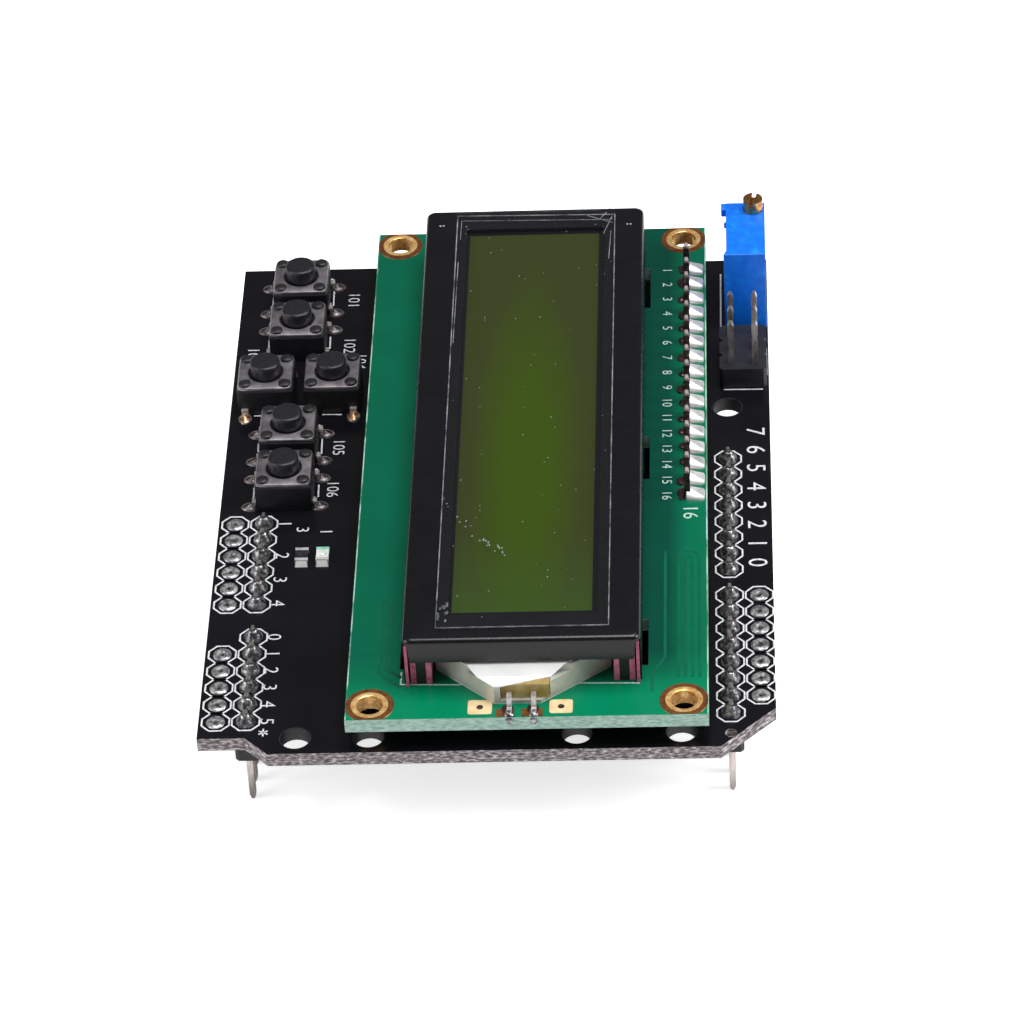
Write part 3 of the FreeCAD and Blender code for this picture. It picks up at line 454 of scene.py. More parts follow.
for points in ([(-18.92, 13.57), (-16.78, 13.50)], [(-26.2, 13.57), (-25.3, 13.57)],
               [(-18.68, 9.46), (-18.62, 6.95)], [(-25.42, 8.85), (-25.38, 7.51)],
               [(-25.42, 1.56), (-25.38, -0.74)], [(-18.63, 1.83), (-18.6, -0.14)],
               [(-18.7, 35.17), (-18.65, 32.48)], [(-18.7, 26.99), (-18.66, 24.88)],
               [(-25.35, 26.69), (-25.3, 24.76)], [(-25.3, 35.3), (-25.3, 32.5)],
               [(-22.16, -36.0), (-22.16, -37.1)], [(-22.6, -36.3), (-21.7, -36.8)],
               [(-22.6, -36.8), (-21.7, -36.3)], [(23.93, 16.36), (28.09, 16.30)],
               [(23.70, 36.6), (23.66, 26.71)], [(28.52, 23.39), (28.52, 18.72)]):
    line(bm, points, 0.16, BOARD_FACE, INK_TOP)
for x, y in ((-19.06, 37.17), (-19.11, 32.85), (-19.05, 29.47), (-19.03, 24.98), (-19.14, 11.66),
             (-19.11, 7.14), (-19.07, 4.31), (-19.15, -0.12)):
    turned(bm, [(0.22, BOARD_FACE), (0.22, INK_TOP)], x, y, 8)
for x in (-27.27, -15.69):
    block(bm, (x - 0.35, x + 0.35), (15.0, 15.6), (BOARD_FACE, INK_TOP))
put("carrier_printing", bm, ink_material, "black_board")

# Spare pads beside the pin rows, with nothing soldered in them: plated copper rings that hot
# solder has tinned, a little domed, round an open bore.
tin = mottled("tinned_copper", 0.4, [(0.35, "#6f6d70"), (0.5, "#a9a7a8"), (0.65, "#e4e2e1")],
              rough=(0.5, 0.22, 0.5), metallic=0.75)
bm = bmesh.new()
turned(bm, [(0.24, -0.3), (0.24, 0.02), (0.32, 0.12), (0.60, 0.17), (0.84, 0.11), (0.95, 0.0),
            (0.95, -0.02), (0.52, -0.02), (0.50, -0.3)], 0, 0, 24, closed=True)
ring_shape = to_mesh("spare_pad_one", bm, 40)
rows("spare_pads", ring_shape, tin, [(x, y, BOARD_FACE, count) for x, y, count in SPARE_ROWS],
     "black_board", smooth=40)

# Header solder: hand-soldered fillets round the pins of the four plug-in rows, and under the
# board round the display's pins. Bright tin alloy, slightly uneven.
solder = mottled("bright_solder", 0.7, [(0.3, "#b4b2b4"), (0.65, "#efedeb")],
                 rough=(0.3, 0.26, 0.42), bump=(0.6, 0.03), metallic=1.0)
frosted = mottled("frosted_solder", 1.1, [(0.3, "#c9c8ca"), (0.65, "#f7f5f3")],
                  rough=(0.4, 0.3, 0.48), metallic=0.55)
aged = mottled("aged_solder", 0.45, [(0.35, "#4c4a4e"), (0.52, "#8d8b8e"), (0.68, "#dcdad9")],
               rough=(0.35, 0.18, 0.45), bump=(0.45, 0.08), detail=4.0, metallic=0.9)
bm = bmesh.new()
turned(bm, [(1.0, 0.0), (0.99, 0.08), (0.93, 0.26), (0.80, 0.46), (0.64, 0.68), (0.50, 0.9),
            (0.38, 1.08), (0.05, 1.12)], 0, 0, 20)
fillet_shape = to_mesh("fillet_one", bm, 60)
rows("header_solder_fillets", fillet_shape, aged, [(x, y, BOARD_FACE, count)
        for x, y, count in PIN_ROWS], "solder", "header_solder_joints", smooth=60)
upside_down = fillet_shape.copy()
upside_down.transform(Matrix.Rotation(math.pi, 4, "X"))
LCD_ROW_X, LCD_ROW_Y, TRIMMER_LEAD = 20.09, -6.0, (26.54, 29.03)
BLOCK_X, BLOCK_Y = 26.04, 17.87
under_rows = [(LCD_ROW_X, LCD_ROW_Y, BOARD_BACK, 16), (BLOCK_X - PITCH / 2, BLOCK_Y, BOARD_BACK,
        3), (BLOCK_X + PITCH / 2, BLOCK_Y, BOARD_BACK, 3), (*TRIMMER_LEAD, BOARD_BACK, 3)]
rows("underside_solder_fillets", upside_down, solder, under_rows, "solder",
     "underside_solder_joints", smooth=60)

# Header strips: black nylon, moulded in one length with a notch between neighbours.
nylon = mottled("moulded_black_nylon", 1.5, [(0.3, "#1a1a1f"), (0.7, "#25252a")],
                rough=(0.4, 0.38, 0.55), bump=(0.15, 0.006))
STRIP_WIDE, NOTCH, STRIP_FOOT = 2.5, 0.35, 6.0


def strip_cell(tall, columns=1):
    across, up = STRIP_WIDE / 2 + (columns - 1) * PITCH / 2, PITCH / 2
    bm = bmesh.new()
    prism(bm, [(across, -up + NOTCH), (across, up - NOTCH), (across - NOTCH, up),
               (-across + NOTCH, up), (-across, up - NOTCH), (-across, -up + NOTCH),
               (-across + NOTCH, -up), (across - NOTCH, -up)], 0, tall)
    return to_mesh("strip_cell", bm)


under_cell, over_cell = strip_cell(2.5), strip_cell(2.54)
for name, (x, y, count) in zip(("power", "analog", "digital_low", "digital_high"), PIN_ROWS):
    rows(f"{name}_notched_strip", under_cell, nylon, [(x, y, STRIP_FOOT, count)],
         "header_plastic", f"{name}_header_strip")
rows("lcd_notched_strip", over_cell, nylon, [(LCD_ROW_X, LCD_ROW_Y, BOARD_FACE, 16)],
     "header_plastic", "lcd_header_strip")
rows("programming_notched_block", strip_cell(2.54, 2), nylon, [(BLOCK_X, BLOCK_Y, BOARD_FACE, 3)],
     "header_plastic", "programming_header_block")

# Header pins: square phosphor-bronze wire, tin plated, with pressed tips. The plating has
# drawn marks along the pin.
pin_tin = mottled("tinned_square_wire", 0.5, [(0.3, "#b9aeac"), (0.7, "#f2e6e3")],
                  rough=(0.3, 0.2, 0.4, 3.0, (1, 1, 0.15)), detail=3.0, stretch=(1, 1, 0.2),
                  metallic=1.0)
for name in ("power_header_pins", "analog_header_pins", "digital_low_header_pins",
             "digital_high_header_pins", "programming_header_pins"):
    dress(name, pin_tin)


def along(material, axis, start, end, most=1.0):
    """How far a point lies from one place to another on an axis, as a share."""
    tree = material.node_tree
    spot = add(tree, "ShaderNodeSeparateXYZ",
               {"Vector": tree.nodes["Texture Coordinate"].outputs["Object"]})
    return add(tree, "ShaderNodeMapRange", {"Value": spot.outputs[axis]}, from_min=start * METRE,
               from_max=end * METRE, to_max=most).outputs["Result"]


# Display pins: dark from flux and from painted shade, with a painted highlight on their tips.
flux_and_shade_wire = mottled("flux_stain_painted_shade_and_tip_highlight", 0.6, [(0.35, "#2c2022"), (0.6, "#5c4c4c"),
        (0.75, "#a49591")], rough=(0.3, 0.3, 0.5), metallic=0.8)
# Painted highlight: the tips are lighter.
blend_in(flux_and_shade_wire, along(flux_and_shade_wire, "Z", 17.3, 17.65), "#f0dcdc")
dress("lcd_header_pins", flux_and_shade_wire)

# Push buttons: four-legged tactile switches, 6 mm square. A black base with a well, a steel
# cover held by four melted posts, and a black cap that the solids' joints press down.
BUTTONS = {"select": (-22.0, 33.45, 0), "left": (-22.0, 25.91, 0), "down": (-24.87, 16.76, 1),
           "up": (-17.77, 16.76, 1), "right": (-22.0, 8.05, 0), "reset": (-22.0, 0.65, 0)}
POST_PLACE, HOLE_RADIUS, CAP_RADIUS = 2.12, 1.85, 1.6
base_plastic = mottled("moulded_black_base", 0.8, [(0.3, "#141318"), (0.7, "#1e1d22")],
                       rough=(0.3, 0.35, 0.55), bump=(0.2, 0.01))
cover_steel = mottled("satin_stamped_steel", 1.2, [(0.3, "#8e888d"), (0.7, "#c3bdc1")],
                      rough=(0.25, 0.34, 0.5, 4.0, (1, 0.2, 1)), bump=(0.2, 0.006), metallic=1.0)
cap_plastic = mottled("moulded_black_cap", 0.6, [(0.3, "#15141a"), (0.7, "#201f25")],
                      rough=(0.25, 0.3, 0.45), bump=(0.15, 0.006))


def square_ring(half, corner, sides, x, y):
    """Points of a rounded square at even angles, so that a round hole joins it cleanly."""
    ring = []
    for k in range(sides):
        turn = math.tau * k / sides
        c, s = math.cos(turn), math.sin(turn)
        straight = half / max(abs(c), abs(s))
        px, py = c * straight, s * straight
        inner = half - corner
        if abs(px) > inner and abs(py) > inner:
            cx, cy = math.copysign(inner, px), math.copysign(inner, py)
            gap = Vector((px - cx, py - cy))
            if gap.length > corner:
                gap = gap.normalized() * corner
            px, py = cx + gap.x, cy + gap.y
        ring.append((x + px, y + py))
    return ring


def circle_ring(radius, sides, x, y):
    return [(x + radius * math.cos(math.tau * k / sides),
             y + radius * math.sin(math.tau * k / sides)) for k in range(sides)]


def at(ring, z):
    return [(x, y, z) for x, y in ring]


HOLE_SIDES = 48
for name, (x, y, turned_round) in BUTTONS.items():
    bm = bmesh.new()
    foot, lip = square_ring(2.96, 0.25, HOLE_SIDES, x, y), circle_ring(2.1, HOLE_SIDES, x, y)
    rim = square_ring(3.0, 0.3, HOLE_SIDES, x, y)
    inside = square_ring(2.9, 0.25, HOLE_SIDES, x, y)
    loft(bm, [at(foot, 10.1), at(rim, 10.3), at(rim, 13.12), at(inside, 13.28), at(lip, 13.28),
              at(lip, 11.1)])
    put(f"{name}_switch_base", bm, base_plastic, "button_plastic", f"{name}_button_base",
        smooth=30)
    bm = bmesh.new()
    outer, chamfer = square_ring(2.9, 0.45, HOLE_SIDES, x, y), square_ring(2.74, 0.4, HOLE_SIDES,
            x, y)
    edge, hole = (circle_ring(r, HOLE_SIDES, x, y) for r in (HOLE_RADIUS + 0.1, HOLE_RADIUS))
    loft(bm, [at(outer, 13.3), at(outer, 13.43), at(square_ring(2.88, 0.44, HOLE_SIDES, x, y),
            13.51), at(square_ring(2.83, 0.42, HOLE_SIDES, x, y), 13.57), at(chamfer, 13.6),
              at(edge, 13.6), at(hole, 13.54), at(hole, 13.3)], closed=True)
    put(f"{name}_switch_cover", bm, cover_steel, "button_steel", f"{name}_button_cover", smooth=30)
    bm = bmesh.new()
    for sx in (-1, 1):
        for sy in (-1, 1):
            turned(bm, [(0.5, 13.3), (0.66, 13.62), (0.66, 13.74), (0.52, 13.86), (0.25, 13.9),
                        (0.02, 13.88)], x + sx * POST_PLACE, y + sy * POST_PLACE, 18)
    put(f"{name}_melted_posts", bm, base_plastic, "button_plastic", smooth=50)
    bm = bmesh.new()
    prism(bm, square_ring(2.05, 0.5, 24, x, y), 12.57, 13.24)
    turned(bm, [(1.6, 13.0), (CAP_RADIUS, 14.82), (1.55, 14.98), (1.42, 15.08), (1.2, 15.1),
                (0.02, 15.1)], x, y, 48)
    put(f"{name}_cap", bm, cap_plastic, "button_cap", f"{name}_button_plunger",
        body=f"{name}_plunger", smooth=40)

# Switch legs and their joints: flat tinned legs through the board, each in a leaf-shaped fillet
# that points out over its pad. The joints are dull, with a lighter rim; the near joints of the two
# turned buttons carry painted gold glints over flux.
dull_solder = mottled("dull_solder", 0.9, [(0.3, "#4c4648"), (0.55, "#777072"),
        (0.75, "#b5aeab")], rough=(0.5, 0.32, 0.5), bump=(0.7, 0.03), metallic=1.0)
LEG_SPAN, LEG_PITCH = 6.5, 4.5
bm, rim = bmesh.new(), bmesh.new()
for x, y, turned_round in BUTTONS.values():
    for sx in (-1, 1):
        for sy in (-1, 1):
            dx, dy = sx * (LEG_SPAN / 2 + 0.35), sy * LEG_PITCH / 2
            if turned_round:
                dx, dy = sx * LEG_PITCH / 2, sy * (LEG_SPAN / 2 + 0.35)
            if turned_round and sy > 0 and abs(x + 17.77) < 1 and sx > 0:
                continue
            wide, long = (0.82, 0.7) if not turned_round else (0.7, 0.82)
            leaf = []
            for k in range(20):
                turn = math.tau * k / 20
                c, t = math.cos(turn), math.sin(turn)
                point = 1.0 + 0.16 * max(0.0, (sx * c if not turned_round else sy * t)) ** 6
                leaf.append((wide * c * point, long * t * point))

            def scaled(r, z):
                return [(x + dx + px * r, y + dy + py * r, BOARD_FACE + z) for px, py in leaf]

            loft(bm, [scaled(r, z) for r, z in ((0.9, 0.0), (0.86, 0.06), (0.66, 0.13),
                    (0.4, 0.24), (0.2, 0.4), (0.05, 0.46))], slot=int(turned_round and sy < 0))
            loft(rim, [scaled(r, z) for r, z in ((0.88, 0.0), (0.9, 0.07), (1.0, 0.08),
                    (1.06, 0.0))], closed=True)
# Painted highlight: a brighter amber copy for the joints on the near side, over brown flux.
flux_and_glint_solder = mottled("flux_with_painted_gold_glints", 0.5, [(0.35, "#5e3f2c"), (0.5, "#c4946a"),
        (0.65, "#f6e0c8")], rough=(0.4, 0.2, 0.4), bump=(0.5, 0.08), metallic=0.7)
put("switch_leg_joints", bm, (dull_solder, flux_and_glint_solder), "solder", smooth=50)
pad_rim = mottled("tin_on_pad_rim", 0.9, [(0.35, "#6d6567"), (0.6, "#a79d9b"), (0.75, "#d8cec6")],
                  rough=0.4, metallic=0.8)
put("switch_pad_rims", rim, pad_rim, "solder", smooth=50)
leg_tin = mottled("tinned_flat_leg", 0.6, [(0.3, "#a9a4a1"), (0.7, "#e6e1dd")],
                  rough=(0.3, 0.25, 0.45), metallic=0.6)
for name in ("button_legs", "trimmer_leads", "backlight_leads"):
    dress(name, leg_tin)
spring = mottled("bright_spring_steel", 0.5, [(0.3, "#9a9894"), (0.7, "#bdbbb6")],
                 rough=(0.2, 0.2, 0.35), metallic=1.0)
dress("button_contacts", spring)

# Power lamp and its resistor: chips soldered at their two ends. The lamp is clear resin over a
# white package, and the resistor is glazed ceramic.
lamp_package = mottled("clear_resin_lamp", 0.7, [(0.3, "#cfe6dc"), (0.55, "#f2f2ee"),
        (0.72, "#efd6da")], rough=0.2, coat_weight=0.6)
mint = mottled("mint_printed_package", 0.5, [(0.3, "#6fc3a4"), (0.7, "#a9e3cd")], rough=0.35)
glaze = mottled("glazed_ceramic", 0.5, [(0.3, "#1c1a1c"), (0.7, "#37323a")],
                rough=(0.3, 0.15, 0.3))


def chip(bm, x, y, wide, long, tall):
    """A chip in three slots: its middle, its metal ends and its far end's print."""
    end = 0.4
    block(bm, (x - wide / 2, x + wide / 2), (y - long / 2 + end, y + long / 2 - end),
          (BOARD_FACE + 0.03, BOARD_FACE + tall - 0.02), 0)
    for side, slot in ((-1, 1), (1, 2)):
        outer, inner = y + side * long / 2, y + side * (long / 2 - end)
        block(bm, (x - wide / 2 - 0.02, x + wide / 2 + 0.02), (min(outer, inner),
                max(outer, inner)), (BOARD_FACE, BOARD_FACE + tall), slot)
        foot = y + side * (long / 2 + 0.02)
        toe = y + side * (long / 2 + 0.5)
        loft(bm, [[(x - wide / 2, toe, BOARD_FACE), (x + wide / 2, toe, BOARD_FACE),
                   (x + wide / 2, foot, BOARD_FACE), (x - wide / 2, foot, BOARD_FACE)],
                  [(x - wide * 0.4, foot + side * 0.02, BOARD_FACE + tall * 0.8),
                   (x + wide * 0.4, foot + side * 0.02, BOARD_FACE + tall * 0.8),
                   (x + wide * 0.4, foot, BOARD_FACE + tall * 0.8),
                   (x - wide * 0.4, foot, BOARD_FACE + tall * 0.8)]], slot=1)


for name, node, slot, x, tall, finishes in (("power_lamp", "power_led", "lamp_lens", -17.6, 0.6,
        (lamp_package, frosted, mint)), ("lamp_resistor", "led_resistor", "ceramic", -19.76, 0.55,
        (glaze, frosted, frosted))):
    bm = bmesh.new()
    chip(bm, x, -9.9, 1.3, 2.0, tall)
    if name == "power_lamp":
        turned(bm, [(0.46, BOARD_FACE + 0.5), (0.42, BOARD_FACE + 0.66),
                    (0.25, BOARD_FACE + 0.76), (0.02, BOARD_FACE + 0.78)], x, -9.9, 20)
    put(name, bm, finishes, slot, node, smooth=40)
dress("ladder_resistors", glaze)
resin = mottled("cured_black_resin", 1.5, [(0.3, "#141314"), (0.7, "#201f20")],
                rough=(0.8, 0.25, 0.5))
dress("backlight_transistor", resin)
dress("chip_blobs", resin)

# Display board: the same laminate under green mask, with painted shade and light in its colour.
# Copper rings round its four holes carry gold-plated barrels.
LCD_FACE, LCD_BACK = 14.24, 12.64


def green_mask(tree, place):
    """Green mask: a painted shadow of the bezel beside it, and painted light at the near end."""
    spot = add(tree, "ShaderNodeSeparateXYZ", {"Vector": place})
    # Painted shade: a darker band just right of the bezel stands in for its shadow.
    side = add(tree, "ShaderNodeMapRange", {"Value": spot.outputs["X"]}, from_min=14.0 * METRE,
               from_max=22.0 * METRE)
    across = add(tree, "ShaderNodeValToRGB", {"Fac": side}, [(0.0, "#006a4d"), (0.12, "#004a3a"),
            (0.52, "#004d3c"), (0.75, "#007150"), (1.0, "#007552")])
    # Painted light: the green lightens towards the near end.
    near = add(tree, "ShaderNodeMapRange", {"Value": spot.outputs["Y"]}, from_min=-30.0 * METRE,
               from_max=-36.5 * METRE)
    whole = add(tree, "ShaderNodeMix", {"Factor": near, 6: across, 7: linear("#00835a")},
                data_type="RGBA")
    uneven = mottle(tree, place, 6.0, [(0.3, "#f0f0f0"), (0.7, "#ffffff")])
    return add(tree, "ShaderNodeMix", {"Factor": 1.0, 6: whole.outputs[2], 7: uneven},
               data_type="RGBA", blend_type="MULTIPLY").outputs[2]


dress("lcd_board", laminate("green_solder_mask_on_laminate", green_mask,
                            [(0.35, "#8fb3a4"), (0.5, "#a9cbbd"), (0.7, "#c6ded3")], 0.26,
                            (0.8, 0.006)))
copper = mottled("brown_masked_copper", 0.8, [(0.3, "#6a4023"), (0.7, "#99623a")],
                 rough=(0.4, 0.3, 0.45), metallic=0.6)
gold = mottled("gold_plate", 0.5, [(0.3, "#dc9c4c"), (0.7, "#ffdc9a")], rough=(0.3, 0.2, 0.35),
               metallic=0.5)
LCD_X, LCD_Y, HOLE_SPAN = 4.24, 0.1, (31.0, 75.0)
BOARD_LOW, BOARD_HIGH = (-13.61, -39.45), (22.09, 39.65)
bm = bmesh.new()
for sx, sy in ((-1, -1), (-1, 1), (1, -1), (1, 1)):
    spot = LCD_X + sx * HOLE_SPAN[0] / 2, LCD_Y + sy * HOLE_SPAN[1] / 2
    turned(bm, [(1.85, LCD_FACE), (1.85, LCD_FACE + 0.05), (2.4, LCD_FACE + 0.05),
                (2.45, LCD_FACE)], *spot, 48, closed=True, slot=0)
    turned(bm, [(1.34, LCD_BACK), (1.34, LCD_FACE + 0.03), (1.42, LCD_FACE + 0.08),
                (1.86, LCD_FACE + 0.07), (1.86, LCD_FACE), (1.42, LCD_FACE - 0.02),
                (1.4, LCD_BACK)], *spot, 48, closed=True, slot=1)
# The rings are cut off where they would pass the board's outline.
for corner in bm.verts:
    corner.co.x = min(max(corner.co.x, BOARD_LOW[0]), BOARD_HIGH[0])
    corner.co.y = min(max(corner.co.y, BOARD_LOW[1]), BOARD_HIGH[1])
put("hole_rings", bm, (copper, gold), "green_board", smooth=40)

SQUARE_PADS = ((-1.55, 0.85, -38.95, -37.0), (6.5, 8.8, -39.05, -37.05))
bm = bmesh.new()
for x0, x1, y0, y1 in SQUARE_PADS:
    middle, half = ((x0 + x1) / 2, (y0 + y1) / 2), (x1 - x0) / 2
    pad = [(x, middle[1] + (y - middle[1]) * 0.86) for x, y in square_ring(half, 0.25, 32,
            *middle)]
    bore = circle_ring(0.34, 32, *middle)
    loft(bm, [at(pad, LCD_FACE), at(pad, LCD_FACE + 0.05), at(bore, LCD_FACE + 0.05),
              at(bore, LCD_FACE)], closed=True)
pale_gold = mottled("gold_on_square_pads", 1.2, [(0.3, "#efc98c"), (0.7, "#ffe9bf")], rough=0.3,
                    metallic=0.2)
put("gold_pads", bm, pale_gold, "green_board")
bm = bmesh.new()
for x0, x1 in ((1.25, 3.05), (3.75, 5.85)):
    block(bm, (x0, x1), (-39.4, -38.3), (LCD_FACE, LCD_FACE + 0.04))
put("copper_pads", bm, copper, "green_board")

bm = bmesh.new()
TRACE_TOP = LCD_FACE + 0.03
for shift in (0, 0.7):
    line(bm, [(19.2 + shift, -34.0), (19.2 + shift, -15.6 - shift),
              (19.7 + shift * 0.6, -14.9 - shift), (20.8 - shift * 0.6, -14.9 - shift),
              (21.3 - shift, -15.6 - shift), (21.3 - shift, -34.0)], 0.28, LCD_FACE, TRACE_TOP)
    line(bm, [(-8.3, -34.9 + shift * 2), (-10.6 + shift, -32.6 + shift * 0.6),
              (-10.75 + shift, -22.1), (-10.25, -21.3 - shift), (-9.75, -22.1), (-9.5, -32.2),
              (-8.3, -33.3)][:4 if shift else 7], 0.26, LCD_FACE, TRACE_TOP)
line(bm, [(17.85, -14.9), (17.85, -31.0), (16.6, -33.4), (16.6, -36.0)], 0.3, LCD_FACE, TRACE_TOP)
trace_green = mottled("green_mask_over_copper", 2.0, [(0.3, "#006044"), (0.7, "#006c4c")],
                      rough=0.25)
put("display_board_tracks", bm, trace_green, "green_board")

mint_ink = mottled("white_ink_on_green", 0.3, [(0.35, "#a9cfc0"), (0.6, "#dcebe3")], rough=0.6)
bm = bmesh.new()
for k in range(16):
    number(bm, str(k + 1), 1.1, 17.95, LCD_ROW_Y + PITCH * (15 - k), LCD_FACE, -90)
number(bm, "16", 1.65, 20.35, -8.75, LCD_FACE, -90)
for points in ([(-2.3, -34.6), (-8.3, -34.4), (-8.3, -32.6)], [(9.2, -34.65), (15.25, -34.8),
        (15.2, -33.1)]):
    line(bm, points, 0.16, LCD_FACE, LCD_FACE + 0.03)
put("display_board_printing", bm, mint_ink, "green_board")

# Long edges of the display board: a thin pale line along each of them is a painted highlight
# where the board's top edge catches the light.
edge_highlight_line = mottled("painted_edge_highlight", 3.0, [(0.4, "#1d7a59"), (0.6, "#b4dccd")], rough=0.7)
bm = bmesh.new()
for x in (-13.59, 22.07):
    line(bm, [(x, -39.4), (x, 39.6)], 0.12, LCD_FACE, LCD_FACE + 0.012)
put("painted_board_edge_highlights", bm, edge_highlight_line, "green_board")

# Display pin joints: long bright fillets that spread outwards over their pads, with brown flux
# left beside them.
bm = bmesh.new()
PAD_HALF, PAD_OUT, RIDGE_FAR, RIDGE_FALL = 0.99, 0.82, 0.55, 1.2


def joint_ring(share, rise):
    """A ring on its way from the pad's outline to a ridge that runs outwards and nearward."""
    ring = []
    for px, py in square_ring(PAD_HALF, 0.3, 24, PAD_OUT, 0):
        out = min(max(px / (PAD_OUT + PAD_HALF), 0.0), 1.0)
        spot = Vector((px, py)).lerp(Vector((0.05 + 1.65 * out, RIDGE_FAR - RIDGE_FALL * out)),
                                     share)
        ring.append((spot.x, spot.y, rise * (0.95 - 0.6 * out)))
    return ring


loft(bm, [joint_ring(share, rise) for share, rise in ((0.0, 0.0), (0.02, 0.25), (0.12, 0.48),
        (0.4, 0.74), (0.7, 0.92), (0.96, 1.0))])
joint_shape = to_mesh("display_joint_one", bm, 35)
rows("display_pin_joints", joint_shape, frosted, [(LCD_ROW_X, LCD_ROW_Y, LCD_FACE, 16)], "solder",
     "lcd_solder_joints", smooth=35)
flux = mottled("dried_brown_flux", 0.8, [(0.35, "#1c1013"), (0.65, "#47282a")],
               rough=(0.5, 0.1, 0.35), coat_weight=0.5)
bm = bmesh.new()
drops = random.Random(5)
for k in range(16):
    y = LCD_ROW_Y + PITCH * k
    for r, tall in ((drops.uniform(0.42, 0.6), 0.22), (drops.uniform(0.25, 0.4), 0.12)):
        x_drop, y_drop = LCD_ROW_X - drops.uniform(0.35, 0.6), y + drops.uniform(-0.5, 0.4)
        turned(bm, [(r, LCD_FACE), (r * 0.9, LCD_FACE + tall * 0.7), (r * 0.5, LCD_FACE + tall),
                    (0.02, LCD_FACE + tall)], x_drop, y_drop, 12, long=drops.uniform(0.8, 1.5))
for x in (2.3, 4.8):
    prism(bm, square_ring(0.6, 0.5, 16, x + 0.1, -38.35), LCD_FACE, LCD_FACE + 0.08)
for x0, x1, y0, y1 in SQUARE_PADS:
    prism(bm, circle_ring(0.33, 16, (x0 + x1) / 2, (y0 + y1) / 2), LCD_FACE, LCD_FACE + 0.02)
put("flux_residue", bm, flux, "solder")

# Bezel: steel sheet drawn into a shallow tray with a window, painted satin black. Its long sides
# reach the board, its end walls stop short, and six tabs are bent under the board.
paint = mottled("satin_black_paint_on_steel", 5.0, [(0.3, "#07070b"), (0.7, "#0d0c12")],
                rough=(0.8, 0.2, 0.32), bump=(0.4, 0.002))
BEZEL_X, BEZEL_Y, BEZEL_TOP, SHEET = 3.85, 0.2, 20.5, 0.4
HALF_WIDE, HALF_LONG, BEND, END_FOOT = 11.75, 35.3, 0.5, 17.7
WINDOW_X, WINDOW_Y, WINDOW_HALF = 3.97, 0.43, (7.4, 31.6)
CORNER, TAB_SPACING, TAB_HALF, TAB_BENT = 0.85, 28.85, 2.7, 1.3


def tray_ring(half_x, half_y, corner, z, x=BEZEL_X, y=BEZEL_Y, foot=None):
    """One ring of the tray. Its end walls may stop short of the board, and its corners are open."""
    ring = []
    for sx, sy, start in ((1, 1, 0), (-1, 1, 1), (-1, -1, 2), (1, -1, 3)):
        for k in range(9):
            turn = math.pi / 2 * (start + k / 8)
            px = x + sx * (half_x - corner) + corner * math.cos(turn)
            py = y + sy * (half_y - corner) + corner * math.sin(turn)
            height = z
            if foot:
                height = foot if abs(math.sin(turn)) > 0.98 else BEZEL_TOP - BEND - 0.15
                if abs(math.sin(turn)) < 0.02:
                    height = z
            ring.append((px, py, height))
    return ring


bm = bmesh.new()
profile = [tray_ring(HALF_WIDE, HALF_LONG, CORNER, LCD_FACE, foot=END_FOOT)]
for k in range(6):
    turn = math.pi / 2 * k / 5
    inset = BEND * (1 - math.cos(turn))
    profile.append(tray_ring(HALF_WIDE - inset, HALF_LONG - inset, max(CORNER - inset * 0.4, 0.5),
                             BEZEL_TOP - BEND + BEND * math.sin(turn)))
window = (*WINDOW_HALF, 0.3)
profile.append(tray_ring(WINDOW_HALF[0] + 0.08, WINDOW_HALF[1] + 0.08, 0.35, BEZEL_TOP, WINDOW_X,
                         WINDOW_Y))
profile.append(tray_ring(*window, BEZEL_TOP - 0.08, WINDOW_X, WINDOW_Y))
profile.append(tray_ring(*window, BEZEL_TOP - SHEET, WINDOW_X, WINDOW_Y))
inner = HALF_WIDE - SHEET, HALF_LONG - SHEET
profile.append(tray_ring(inner[0] - 0.5, inner[1] - 0.5, 0.6, BEZEL_TOP - SHEET))
profile.append(tray_ring(*inner, 0.8, BEZEL_TOP - SHEET - 0.5))
profile.append(tray_ring(*inner, 0.8, LCD_FACE, foot=END_FOOT))
loft(bm, profile, closed=True)
for sx in (-1, 1):
    wall = BEZEL_X + sx * (HALF_WIDE - SHEET / 2)
    for tab_y in (-TAB_SPACING, 0, TAB_SPACING):
        y_range = (BEZEL_Y + tab_y - TAB_HALF, BEZEL_Y + tab_y + TAB_HALF)
        block(bm, (wall - SHEET / 2, wall + SHEET / 2), y_range,
              (LCD_BACK - SHEET, LCD_FACE + 0.01))
        toe = wall - sx * (TAB_BENT - SHEET / 2)
        heel = wall + sx * SHEET / 2
        block(bm, (min(toe, heel), max(toe, heel)), y_range, (LCD_BACK - SHEET, LCD_BACK))
put("painted_bezel", bm, paint, "bezel_paint", "lcd_bezel", smooth=35)

# Display stack: yellow-green polariser over two glass panes. The middle is painted lighter than the
# rim, a painted glow, and the sealed border outside the viewing area is dark.
film_green, tree, shader, place = new_finish("yellow_green_polariser")
spot = add(tree, "ShaderNodeSeparateXYZ", {"Vector": place})


def off_centre(axis, centre, half, power=1.0):
    """How far a point lies from the middle line, 1 at the half width, raised to a power."""
    moved = add(tree, "ShaderNodeMath", {0: spot.outputs[axis], 1: centre * METRE},
                operation="SUBTRACT")
    size = add(tree, "ShaderNodeMath", {0: moved}, operation="ABSOLUTE")
    share = add(tree, "ShaderNodeMath", {0: size, 1: half * METRE}, operation="DIVIDE")
    return add(tree, "ShaderNodeMath", {0: share, 1: power}, operation="POWER")


